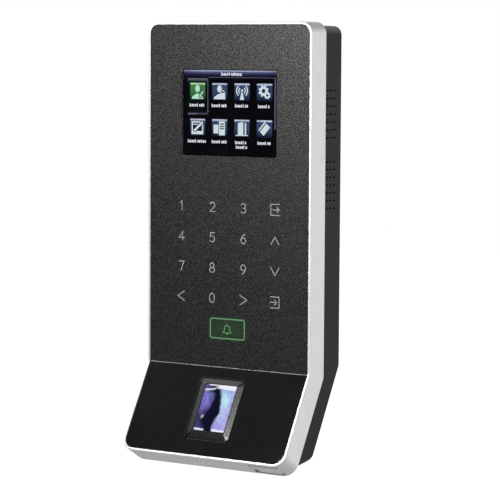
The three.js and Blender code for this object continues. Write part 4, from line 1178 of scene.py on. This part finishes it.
# ---------------- rear case
CASE_SIDE = WIDTH / 2 - 1
CASE_TOP = UPPER_HEIGHT - 1.5
CASE_FRONT, LOWER_CASE_FRONT = FRAME_DEPTH + 0.3, LOWER_FRAME_DEPTH + 0.3
CASE_END_FRONT, CASE_END_BACK = 38.9, 31.2
END_SLOPE = (CASE_END_FRONT - CASE_END_BACK) / (LOWER_BODY_DEPTH - LOWER_CASE_FRONT)
CASE_RADIUS = 4
BACK_EASE = 0.15


def case_ring(inset, depth, lower_depth):
    end = CASE_END_FRONT - END_SLOPE * (lower_depth - LOWER_CASE_FRONT)
    radius = CASE_RADIUS - inset
    return (CASE_SIDE - inset, depth, lower_depth, CASE_TOP - inset, end - inset, radius, radius)


case_rings = [
    case_ring(0.15, CASE_FRONT, LOWER_CASE_FRONT),
    case_ring(0, CASE_FRONT + 0.15, LOWER_CASE_FRONT + 0.15),
]
for i in range(7):
    turn = math.pi / 2 * i / 6
    inset, rise = BACK_EASE * (1 - math.cos(turn)), BACK_EASE * (1 - math.sin(turn))
    case_rings.append(case_ring(inset, BODY_DEPTH - rise, LOWER_BODY_DEPTH - rise))
LIP_DEPTHS = (9.5, 12.6)
LIP_INSET, LIP_END, LIP_TOP_RADIUS, LIP_END_RADIUS = 2.5, 38, 2.5, 3
lip_side, lip_top = WIDTH / 2 - LIP_INSET, UPPER_HEIGHT - LIP_INSET
case_lip = bent_slab(
    [(lip_side, depth, depth, lip_top, LIP_END, LIP_TOP_RADIUS, LIP_END_RADIUS) for depth in LIP_DEPTHS]
)
HOLLOW_SIDE, HOLLOW_TOP, HOLLOW_RADIUS = 38.05, 144.2, 2
HOLLOW_FRONT, HOLLOW_BACK = (8.5, 8.5, 36.8), (22.65, 19.55, 30.1)  # each face's depth, and the end
hollow_rings = []
for depth, lower_depth, end in (HOLLOW_FRONT, HOLLOW_BACK):
    hollow_rings.append((HOLLOW_SIDE, depth, lower_depth, HOLLOW_TOP, end, HOLLOW_RADIUS, HOLLOW_RADIUS))
hollow = bent_slab(hollow_rings)

PLATE_HALF, PLATE_BOTTOM, PLATE_TOP, PLATE_THICK = 30, 12, 128, 1.2
LIFT = 5.5  # how far the terminal is lifted to come off its hooks
PLATE_FRONT = WALL_DEPTH - PLATE_THICK
BAY_HALF, BAY_BOTTOM, BAY_TOP = 20, 32, 64
HOOK_X, HOOK_HEIGHTS = 25.5, (40, 118)
HOOK_DEPTH, HOOK_WIDTH, HOOK_LENGTH, HOOK_BEND = 21, 4, 4, 1.2
SWITCHES = ((12, 96), (-4, 96))
CASE_SCREW_X, CASE_SCREW_HEIGHTS = 34.5, (8, 141)
CASE_SCREWS = [(side * CASE_SCREW_X, height) for height in CASE_SCREW_HEIGHTS for side in (-1, 1)]
SCREW_SEAT, SCREW_HOLE, WELL_RADIUS, BOSS_RADIUS = 20, 1.55, 2.7, 3.4
SWITCH_BORES = (2.2, 1.6)  # in the case, for the tamper plunger and the reset pin
TAB_WIDTH = 12
FOOT_WELL, FOOT_HOLE = 3.1, 1.75  # radii round the retaining screw's head and shank
TAB_DEPTH = 20.5
THROUGH = (BODY_DEPTH - 4.2, BODY_DEPTH + 1)

VENT_GROUPS, VENT_DEPTH = (79.2, 109.3), 17.6
VENT_RADIUS, VENT_ROWS, VENT_ROW_PITCH = 0.6, 7, 3.32
VENT_COLUMNS, VENT_COLUMN_PITCH = 3, 3
vent_profile = [(VENT_RADIUS, 37), (VENT_RADIUS, CASE_SIDE - 0.18)]
vent_profile += [(VENT_RADIUS + 0.18, CASE_SIDE), (VENT_RADIUS + 0.2, CASE_SIDE + 1)]
vents = []
for group in VENT_GROUPS:
    for row in range(VENT_ROWS):
        for column in range(VENT_COLUMNS):
            hole = turned(vent_profile, steps=16)
            depth = VENT_DEPTH + VENT_COLUMN_PITCH * (column - 1)
            height = group + VENT_ROW_PITCH * (row - 3)
            placed = sideways(hole).shifted(depth=depth, height=height)
            vents += [placed, placed.moved(lambda p: (-p[0], p[1], p[2]))]

BOSS_DEPTHS = (12, BODY_DEPTH - 1)
screw_bosses = [rod(BOSS_RADIUS, BOSS_DEPTHS, x, height) for x, height in CASE_SCREWS]
well_profile = [(SCREW_HOLE, 11), (SCREW_HOLE, SCREW_SEAT), (WELL_RADIUS, SCREW_SEAT)]
well_profile += [(WELL_RADIUS, BODY_DEPTH - 0.25)]
well_profile += [(WELL_RADIUS + 0.4, BODY_DEPTH + 0.15), (WELL_RADIUS + 0.4, BODY_DEPTH + 1)]
screw_wells = [turned(well_profile, x, height) for x, height in CASE_SCREWS]
foot_profile = [(FOOT_WELL, -24), (FOOT_WELL, 0), (FOOT_HOLE, 0), (FOOT_HOLE, 8)]
foot_well = on_end(turned(foot_profile)).shifted(depth=TAB_DEPTH)
plate_recess = slab(
    centred(0, 2 * PLATE_HALF + 1.2),
    (BODY_DEPTH - PLATE_THICK, BODY_DEPTH + 2),
    (PLATE_BOTTOM - LIFT - 1, PLATE_TOP + 0.6),
    3.4,
    CUT_EDGE,
)
BAY_RADIUS = 1.5
bay = slab((-BAY_HALF, BAY_HALF), THROUGH, (BAY_BOTTOM, BAY_TOP), BAY_RADIUS, CUT_EDGE)
hook_slots = []
for height in HOOK_HEIGHTS:
    slot_heights = (height - LIFT - 0.1, height + 1.6)
    for side in (-1, 1):
        slot_xs = centred(side * HOOK_X, HOOK_WIDTH + 0.8)
        hook_slots.append(slab(slot_xs, THROUGH, slot_heights, 0.6, CUT_EDGE))
tab_room = (PLATE_BOTTOM - LIFT, PLATE_BOTTOM + 1.7)
tab_slot = slab(centred(0, TAB_WIDTH + 1), THROUGH, tab_room, 0.5, CUT_EDGE)
switch_holes = []
for radius, (x, height) in zip(SWITCH_BORES, SWITCHES):
    profile = [(radius, THROUGH[0]), (radius, BODY_DEPTH - 1.5)]
    profile += [(radius + 0.3, BODY_DEPTH - 1.2), (radius + 0.3, THROUGH[1])]
    switch_holes.append(turned(profile, x, height))
piece(
    "rear_shell",
    bent_slab(case_rings),
    CASE,
    stands_for="rear_case",
    slot="case_grey",
    joins=[case_lip],
    cuts=[
        hollow,
        plate_recess,
        together(screw_wells + [foot_well]),
        together(vents),
        together([bay, tab_slot] + hook_slots + switch_holes),
    ],
)
# The screw pillars are a piece of their own, standing on the inside of the shell.
piece("screw_pillars", together(screw_bosses), CASE, slot="case_grey", cuts=[together(screw_wells)])

# ---------------- wall plate
ACROSS_PLATE = (20, 30)  # depths that go right through the plate
WALL_HOLE, SWITCH_HOLE = 2.3, 2.8  # radii
WALL_HOLE_X, WALL_HOLE_HEIGHTS = 14, (24, 122)
plate_sheet = slab(
    (-PLATE_HALF, PLATE_HALF), (PLATE_FRONT, WALL_DEPTH), (PLATE_BOTTOM, PLATE_TOP), 3, 0.12, steps=8
)
plate_bay_xs = (1 - BAY_HALF, BAY_HALF - 1)
plate_bay = slab(plate_bay_xs, ACROSS_PLATE, (BAY_BOTTOM, BAY_TOP), BAY_RADIUS, CUT_EDGE)
plate_holes = []
for height in WALL_HOLE_HEIGHTS:
    plate_holes += [rod(WALL_HOLE, ACROSS_PLATE, side * WALL_HOLE_X, height) for side in (-1, 1)]
plate_holes += [rod(SWITCH_HOLE, ACROSS_PLATE, x, height) for x, height in SWITCHES]


def hook(x, height):
    """A hook of the plate: out from the sheet, round a bend and up."""
    middle, bend = height + PLATE_THICK / 2, HOOK_BEND
    lip_depth = HOOK_DEPTH + PLATE_THICK / 2
    path = [(PLATE_FRONT + 0.5, middle), (lip_depth + bend, middle)]
    for t in (0.5, 1.0, 1.4):
        path.append((lip_depth + bend - bend * math.sin(t), middle + bend - bend * math.cos(t)))
    path += [(lip_depth, middle + 1.8), (lip_depth, height + PLATE_THICK + HOOK_LENGTH)]
    return strip(path, PLATE_THICK, centred(x, HOOK_WIDTH))


hooks = together([hook(side * HOOK_X, height) for side in (-1, 1) for height in HOOK_HEIGHTS])
# The tab is turned on end when it is joined, so its heights are given before its depths.
tab_heights = (PLATE_BOTTOM, PLATE_BOTTOM + PLATE_THICK)
tab = slab(centred(0, TAB_WIDTH), tab_heights, (17, PLATE_FRONT + 0.5), 1.5, 0.1)
tab_hole = rod(FOOT_HOLE, (PLATE_BOTTOM - 2, PLATE_BOTTOM + 4), 0, TAB_DEPTH)
piece(
    "wall_bracket",
    plate_sheet,
    ZINC,
    stands_for="wall_plate",
    slot="steel",
    joins=[hooks, on_end(tab)],
    cuts=[plate_bay, together(plate_holes), on_end(tab_hole)],
)


# ---------------- screws
SCREW_STEPS = 48


def cross_ring(reach, arm, depth):
    """The outline of a cross recess."""
    ring = []
    for i in range(SCREW_STEPS):
        angle = 2 * math.pi * i / SCREW_STEPS
        off = (angle + math.pi / 4) % (math.pi / 2) - math.pi / 4
        radius = min(reach / math.cos(off), arm / max(abs(math.sin(off)), 1e-6))
        ring.append((radius * math.cos(angle), depth, radius * math.sin(angle)))
    return ring


def pan_screw(head, rise, shank, seat, tip):
    """A pan-head screw driven from behind, with a cross recess."""
    top = seat + rise
    profile = [(shank * 0.5, tip), (shank, tip + 0.7), (shank, seat), (head - 0.1, seat)]
    profile += [(head, seat + 0.15), (head, seat + rise * 0.45), (head * 0.95, seat + rise * 0.72)]
    profile += [(head * 0.82, seat + rise * 0.92), (head * 0.66, top)]
    rings = [at_depth(ellipse((0, 0), radius, SCREW_STEPS), depth) for radius, depth in profile]
    return skin(rings + [cross_ring(head * 0.52, 0.36, top), cross_ring(head * 0.3, 0.22, top - 0.9)])


case_screw = pan_screw(head=2.3, rise=1.7, shank=1.25, seat=SCREW_SEAT + 0.1, tip=6)
for number, (x, height) in enumerate(CASE_SCREWS, 1):
    piece(
        f"shell_screw_{number}",
        case_screw.shifted(x=x, height=height),
        STEEL,
        stands_for=f"case_screw_{number}",
        slot="steel",
    )
foot_screw = pan_screw(head=2.6, rise=1.9, shank=1.45, seat=0.1, tip=-16)
foot_screw = foot_screw.moved(lambda p: (p[0], TAB_DEPTH + p[2], -p[1]))
piece("foot_screw", foot_screw, STEEL, stands_for="retaining_screw", slot="steel")

# ---------------- finger sensor
bezel_width, bezel_length = SENSOR_WIDTH - 0.4, SENSOR_LENGTH - 0.4
glass_room = (GLASS_WIDTH + 0.3, GLASS_LENGTH + 0.3)
SLOPE = 2.4  # how far in the bezel's slope runs
BEZEL_BACK = 2.4


def bezel_ring(width, length, radius, depth, middle=SENSOR_MIDDLE):
    return at_depth(rounded(centred(0, width), centred(middle, length), radius, steps=8), depth)


bezel_rings = [
    bezel_ring(bezel_width, bezel_length, 2, BEZEL_BACK),
    bezel_ring(bezel_width, bezel_length, 2, 0.8),
    bezel_ring(bezel_width - 0.25, bezel_length - 0.25, 1.9, 0.64),
    bezel_ring(bezel_width - 2 * SLOPE, bezel_length - 2 * SLOPE, 0.7, 0.2),
    bezel_ring(glass_room[0] + 0.5, glass_room[1] + 0.5, 0.55, 0.15, GLASS_MIDDLE),
    bezel_ring(glass_room[0], glass_room[1], 0.3, 0.34, GLASS_MIDDLE),
    bezel_ring(glass_room[0], glass_room[1], 0.3, BEZEL_BACK, GLASS_MIDDLE),
]
piece(
    "sensor_surround",
    skin(bezel_rings, loop=True).kicked(),
    BEZEL,
    stands_for="sensor_bezel",
    slot="inner_plastic",
)
piece(
    "sensor_window",
    slab(centred(0, GLASS_WIDTH), (0.1, 3), centred(GLASS_MIDDLE, GLASS_LENGTH), 0.3, 0.15).kicked(),
    SENSOR,
    stands_for="sensor_prism",
    slot="sensor_glass",
)

# ---------------- service port and its cover
port_xs, port_depths = centred(PORT_X, PORT_WIDTH), centred(PORT_DEPTH, PORT_HEIGHT)


def port_ring(inset, station):
    return [(x, z, station) for x, z in rounded(port_xs, port_depths, 0.6, inset)]


PORT_END = -PORT_MOUTH + PORT_LENGTH
shell_section = [(0.1, -PORT_MOUTH), (0, -PORT_MOUTH + 0.12), (0, PORT_END), (2.6, PORT_END)]
shell_section += [(2.6, PORT_END - 0.4), (0.35, PORT_END - 0.4), (0.35, -PORT_MOUTH + 0.3)]
shell_section += [(0.22, -PORT_MOUTH)]
shell_rings = [port_ring(inset, station) for inset, station in shell_section]
TONGUE_WIDTH, TONGUE_THICK, CONTACT_WIDTH, CONTACT_PITCH = 10.8, 1.9, 1.1, 2.3
tongue_run = (-PORT_MOUTH + 0.8, PORT_END - 0.6)
tongue = brick(centred(PORT_X, TONGUE_WIDTH), (PORT_DEPTH - TONGUE_THICK, PORT_DEPTH), tongue_run, 0.15)
contact_depths = (PORT_DEPTH - 0.05, PORT_DEPTH + 0.12)
contact_run = (-PORT_MOUTH + 1.6, -PORT_MOUTH + 9)
contact_xs = [PORT_X + CONTACT_PITCH * (i - 1.5) for i in range(4)]
contacts = [brick(centred(x, CONTACT_WIDTH), contact_depths, contact_run, 0.04) for x in contact_xs]
piece(
    "port_shell",
    (skin(shell_rings, loop=True) + tongue.marked(1) + together(contacts).marked(2)).kicked(),
    TIN,
    NYLON,
    BRASS,
    stands_for="usb_port",
    slot="tin",
)

COVER_EDGE = 0.12


def cover_outline(inset):
    """The cover seen square to the face: its outside follows the frame's round corner."""
    outer, inner = -LOWER_LENGTH + inset, -LOWER_LENGTH + COVER_THICKNESS - inset
    corner = arc((WIDTH / 2 - END_RADIUS, -LOWER_LENGTH + END_RADIUS), END_RADIUS - inset, 270, 281, 4)
    return [(COVER_LEFT + inset, outer)] + corner + [(PIN_X, inner), (COVER_LEFT + inset, inner)]


cover_plate = loft(cover_outline, eased(COVER_FRONT, COVER_BACK, COVER_EDGE))
barrel_profile = [(BARREL - 0.1, COVER_FRONT + 0.65), (BARREL, COVER_FRONT + 0.75)]
barrel_profile += [(BARREL, COVER_BACK - 0.5), (BARREL - 0.1, COVER_BACK - 0.4)]
cover_barrel = turned(barrel_profile, PIN_X, -PIN_DROP, 24)
cover_bore = rod(PIN_ROOM, (0, 12), PIN_X, -PIN_DROP, 20)
NOTCH_RADIUS, NOTCH_X, NOTCH_DEPTH = 1.1, COVER_LEFT + 1.4, COVER_BACK - 1.4
notch_heights = (-LOWER_LENGTH - 1, -LOWER_LENGTH + 2)
nail_notch = on_end(rod(NOTCH_RADIUS, notch_heights, NOTCH_X, NOTCH_DEPTH))
piece(
    "port_cover",
    cover_plate.kicked(),
    SILVER,
    body="service_cover",
    stands_for="usb_cover",
    slot="satin_silver",
    joins=[cover_barrel.kicked()],
    cuts=[cover_bore.kicked(), nail_notch.kicked()],
)

# A black plug fills the cover's nail notch almost flush and opens with it: painted shade standing in for
# the notch's dark hollow.
notch_plug_profile = [(0.9, -LOWER_LENGTH + 0.04), (1.02, -LOWER_LENGTH + 0.12), (1.02, -PIN_DROP - 0.05)]
piece(
    "notch_shade_plug",
    on_end(turned(notch_plug_profile, NOTCH_X, NOTCH_DEPTH, 24)).kicked(),
    SEAL,
    body="service_cover",
    slot="seal_black",
)
# Black strips fill the seams in front of and behind the cover: painted shade for the dark gap lines there.
# A black ring fills the gap round the port's mouth.
seam_xs, seam_heights = (COVER_LEFT - 0.28, PIN_X - BARREL - 0.2), (-LOWER_LENGTH + 0.03, -PIN_DROP)
front_seam = (COVER_FRONT - SEAM + 0.02, COVER_FRONT - 0.06)
back_seam = (COVER_BACK + 0.06, COVER_BACK + SEAM - 0.02)
seam_strips = [brick(seam_xs, depths, seam_heights, 0.04) for depths in (front_seam, back_seam)]
MOUTH_LOW, MOUTH_HIGH = -40.1, -39.4


def mouth_ring(wider, taller, station):
    outline = rounded(centred(PORT_X, PORT_WIDTH + wider), centred(PORT_DEPTH, PORT_HEIGHT + taller), 0.5)
    return [(x, z, station) for x, z in outline]


mouth_rings = [mouth_ring(0.64, 0.34, station) for station in (MOUTH_LOW, MOUTH_HIGH)]
mouth_rings += [mouth_ring(0.08, 0.08, station) for station in (MOUTH_HIGH, MOUTH_LOW)]
piece(
    "cover_gap_fill",
    (together(seam_strips) + skin(mouth_rings, loop=True)).kicked(),
    SEAL,
    slot="seal_black",
)

# ---------------- connectors seen through the cable bay
BOARD_BACK = 13.6
HEADERS = (
    ("power", 2, -14, 41),
    ("lock", 4, -2.5, 41),
    ("rs485", 3, 11.5, 41),
    ("ethernet", 4, -11, 55),
    ("wiegand", 6, 7.5, 55),
)
PIN_PITCH, PIN_SIZE = 2.5, 0.64
SHROUD_ENDS, SHROUD_HEIGHT, SHROUD_RISE = 4.9, 5.8, 6.4  # its ends are the width beside the pins


def header(pins, x, height):
    """A shrouded connector with its row of square pins."""
    width = PIN_PITCH * (pins - 1) + SHROUD_ENDS
    xs, heights = centred(x, width), centred(height, SHROUD_HEIGHT)
    front, back = BOARD_BACK + 0.15, BOARD_BACK + 0.15 + SHROUD_RISE
    walls = [(0, front), (0, back - 0.2), (0.2, back), (0.6, back), (0.8, back - 0.2), (0.8, front + 1.4)]
    shell = loft(lambda inset: rounded(xs, heights, 0.9, inset, steps=3), walls)
    post_profile = [(0, front + 1.2), (0, back - 1.6), (0.2, back - 1.2)]
    post_heights = centred(height, PIN_SIZE)
    posts = []
    for i in range(pins):
        post_xs = centred(x + PIN_PITCH * (i - (pins - 1) / 2), PIN_SIZE)
        posts.append(loft(lambda inset: rounded(post_xs, post_heights, 0.05, inset, steps=1), post_profile))
    return shell + together(posts).marked(1)


KEYWAY_WIDTH = 1.6
keyway_depths = (BOARD_BACK + 3, BOARD_BACK + 8)
for name, pins, x, height in HEADERS:
    keyway = brick(centred(x, KEYWAY_WIDTH), keyway_depths, (height + 1.6, height + 4), 0.05)
    piece(
        name + "_socket",
        header(pins, x, height),
        NYLON,
        BRASS,
        stands_for=name + "_header",
        slot="nylon_white",
        cuts=[keyway],
    )

# Both are (radius, depth) profiles: a stem, a flange that stops it, and the end that is pressed.
plunger = [(0.8, 17), (1, 17.2), (1, 19.65), (2.85, 19.65), (3, 19.8), (3, 20.5), (2.85, 20.65)]
plunger += [(1.7, 20.65), (1.7, WALL_DEPTH - 0.5), (1.55, WALL_DEPTH - 0.15), (1.2, WALL_DEPTH)]
piece(
    "wall_plunger",
    turned(plunger, *SWITCHES[0]),
    NYLON,
    body="tamper",
    stands_for="tamper_plunger",
    slot="nylon_white",
)
reset = [(1.05, 17), (1.2, 17.15), (1.2, 20.4), (2.3, 20.4), (2.3, 21.4), (1.2, 21.4)]
reset += [(1.2, 23.85), (1.0, 24.05)]
piece(
    "reset_pin",
    turned(reset, *SWITCHES[1]),
    INNER,
    body="reset",
    stands_for="reset_button",
    slot="inner_plastic",
)


COIL_STEPS, COIL_SIDES = 24, 10


def coil(radius, wire, turns, start, stop):
    """A coil spring about a line in depth."""
    rings = []
    run = stop - start - wire
    for i in range(turns * COIL_STEPS + 1):
        angle = 2 * math.pi * i / COIL_STEPS
        depth = start + wire / 2 + run * i / (turns * COIL_STEPS)
        out = Vector((math.cos(angle), 0, math.sin(angle)))
        ring = []
        for k in range(COIL_SIDES):
            turn = 2 * math.pi * k / COIL_SIDES
            aside = Vector((0, depth + wire / 2 * math.sin(turn), 0))
            ring.append(tuple(out * (radius + wire / 2 * math.cos(turn)) + aside))
        rings.append(ring)
    return skin(rings)


SPRING_FOOT, SPRING_TOP = 16.2, 19.5
wound = coil(radius=2.1, wire=0.45, turns=4, start=SPRING_FOOT, stop=SPRING_TOP)
spring = piece(
    "plunger_spring",
    wound.shifted(x=SWITCHES[0][0], height=SWITCHES[0][1]),
    STEEL,
    body=None,
    stands_for="tamper_spring",
    slot="steel",
    crease=60,
)
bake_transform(spring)

# ---------------- CAD nodes that keep their shape
dress(INNER, "front_chassis", "sensor_housing", "battery_holder", "speaker_frame")
dress(SEAL, "panel_gasket", "speaker_cone")
dress(BOARD, "keypad_board", "main_board", "antenna_board", "sensor_board", "usb_board")
dress(CHIP, "touch_controller", "processor", "memory_chip", "supply_capacitor")
dress(CHIP, "reset_switch", "tamper_switch", "sensor_camera")
dress(TIN, "lcd_frame", "shield_can", "clock_battery")
dress(STEEL, "speaker_magnet", "usb_cover_pin", *[f"board_screw_{i}" for i in (1, 2, 3, 4)])
dress(NYLON, "lcd_backlight", "bell_led", "sensor_light")
dress(RELAY, "lock_relay")
dress(GUIDE, "bell_light_guide")
dress(FILM, "lcd_flex", "sensor_flex")
dress(BRASS, "microphone")

# ---------------- stage, light and camera
FLOOR_HEIGHT = -1.5  # metres, well below, so that views from below see the terminal
bpy.ops.mesh.primitive_plane_add(size=30, location=(0, 0, FLOOR_HEIGHT))
floor = bpy.context.object
floor.name = "floor"
pale = Finish("floor_pale", roughness=0.9, emission_color=(1, 1, 1, 1), emission_strength=0.8)
pale.use("Base Color", pale.mix(pale.noise(300, 2), srgb(238), srgb(244)))
floor.data.materials.append(pale.material)
floor.visible_glossy = False
floor.visible_diffuse = False
floor.visible_transmission = False


DARK_WALL = (-0.604, -0.72, 0.342)  # the studio's one dark side: in front, to the left and above


def light_sky():
    """A white studio with one dark side, whose ceiling is dimmer than its walls."""
    world = bpy.data.worlds.new("studio")
    bpy.context.scene.world = world
    world.use_nodes = True
    tree = world.node_tree
    tree.nodes.clear()

    def node(kind, *inputs, **settings):
        return add_node(tree, kind, dict(enumerate(inputs)), **settings).outputs

    direction = node("TexCoord")["Generated"]
    towards_dark = node("VectorMath", direction, DARK_WALL, operation="DOT_PRODUCT")["Value"]
    height = node("SeparateXYZ", direction)["Z"]
    walls = node("MapRange", towards_dark, 0.42, 0.9, 1.2, 0.02)["Result"]
    ceiling = node("MapRange", height, 0.05, 0.5, 1.0, 0.3)["Result"]
    horizon = node("MapRange", height, -0.22, -0.1, 0.75, 1.0)["Result"]
    ground = node("MapRange", height, -0.6, -0.25, 0.55, 1.0)["Result"]
    level = walls
    for share in (ceiling, horizon, ground):
        level = node("Math", level, share, operation="MULTIPLY")[0]
    studio = node("Background", (1, 1, 1, 1), level)[0]
    white = node("Background", (1, 1, 1, 1), 1.0)[0]
    seen = node("LightPath")["Is Camera Ray"]
    surface = node("MixShader", seen, studio, white)[0]
    node("OutputWorld", surface)


light_sky()


def soft_light(name, place, target, size, power):
    data = bpy.data.lights.new(name, "AREA")
    data.shape = "RECTANGLE"
    data.size, data.size_y = size
    data.energy = power
    lamp = add_object(name, data)
    lamp.location = place
    lamp.rotation_euler = (Vector(target) - Vector(place)).to_track_quat("-Z", "Y").to_euler()
    lamp.visible_camera = False


soft_light("key", (-0.07, -0.43, 0.18), target=(0.02, 0, 0.05), size=(0.12, 0.12), power=2.6)
soft_light("top", (-0.42, -0.13, 0.34), target=(0, 0, -0.09), size=(0.33, 0.33), power=0.9)

YAW, PITCH, ROLL = math.radians(32.794), math.radians(4.933), math.radians(0.312)
EYE_BACK, EYE_RIGHT, EYE_UP = 0.98036, 0.009682, 0.050735  # metres from the fold's middle
LENS = 163.68  # millimetres, for a 36 mm sensor
back = Vector((math.sin(YAW) * math.cos(PITCH), -math.cos(YAW) * math.cos(PITCH), math.sin(PITCH)))
right = Vector((math.cos(YAW), math.sin(YAW), 0))
up = back.cross(right)
camera_data = bpy.data.cameras.new("camera")
camera_data.sensor_width = 36
camera_data.lens = LENS
camera_data.clip_start, camera_data.clip_end = 0.05, 100
camera = add_object("camera", camera_data)
turned_right = right * math.cos(ROLL) + up * math.sin(ROLL)
turned_up = up * math.cos(ROLL) - right * math.sin(ROLL)
eye = ORIGIN + back * EYE_BACK + right * EYE_RIGHT + up * EYE_UP
matrix = [[turned_right[i], turned_up[i], back[i], eye[i]] for i in range(3)]
camera.matrix_world = Matrix(matrix + [[0, 0, 0, 1]])
bpy.context.scene.camera = camera
bpy.context.scene.view_settings.view_transform = "Standard"
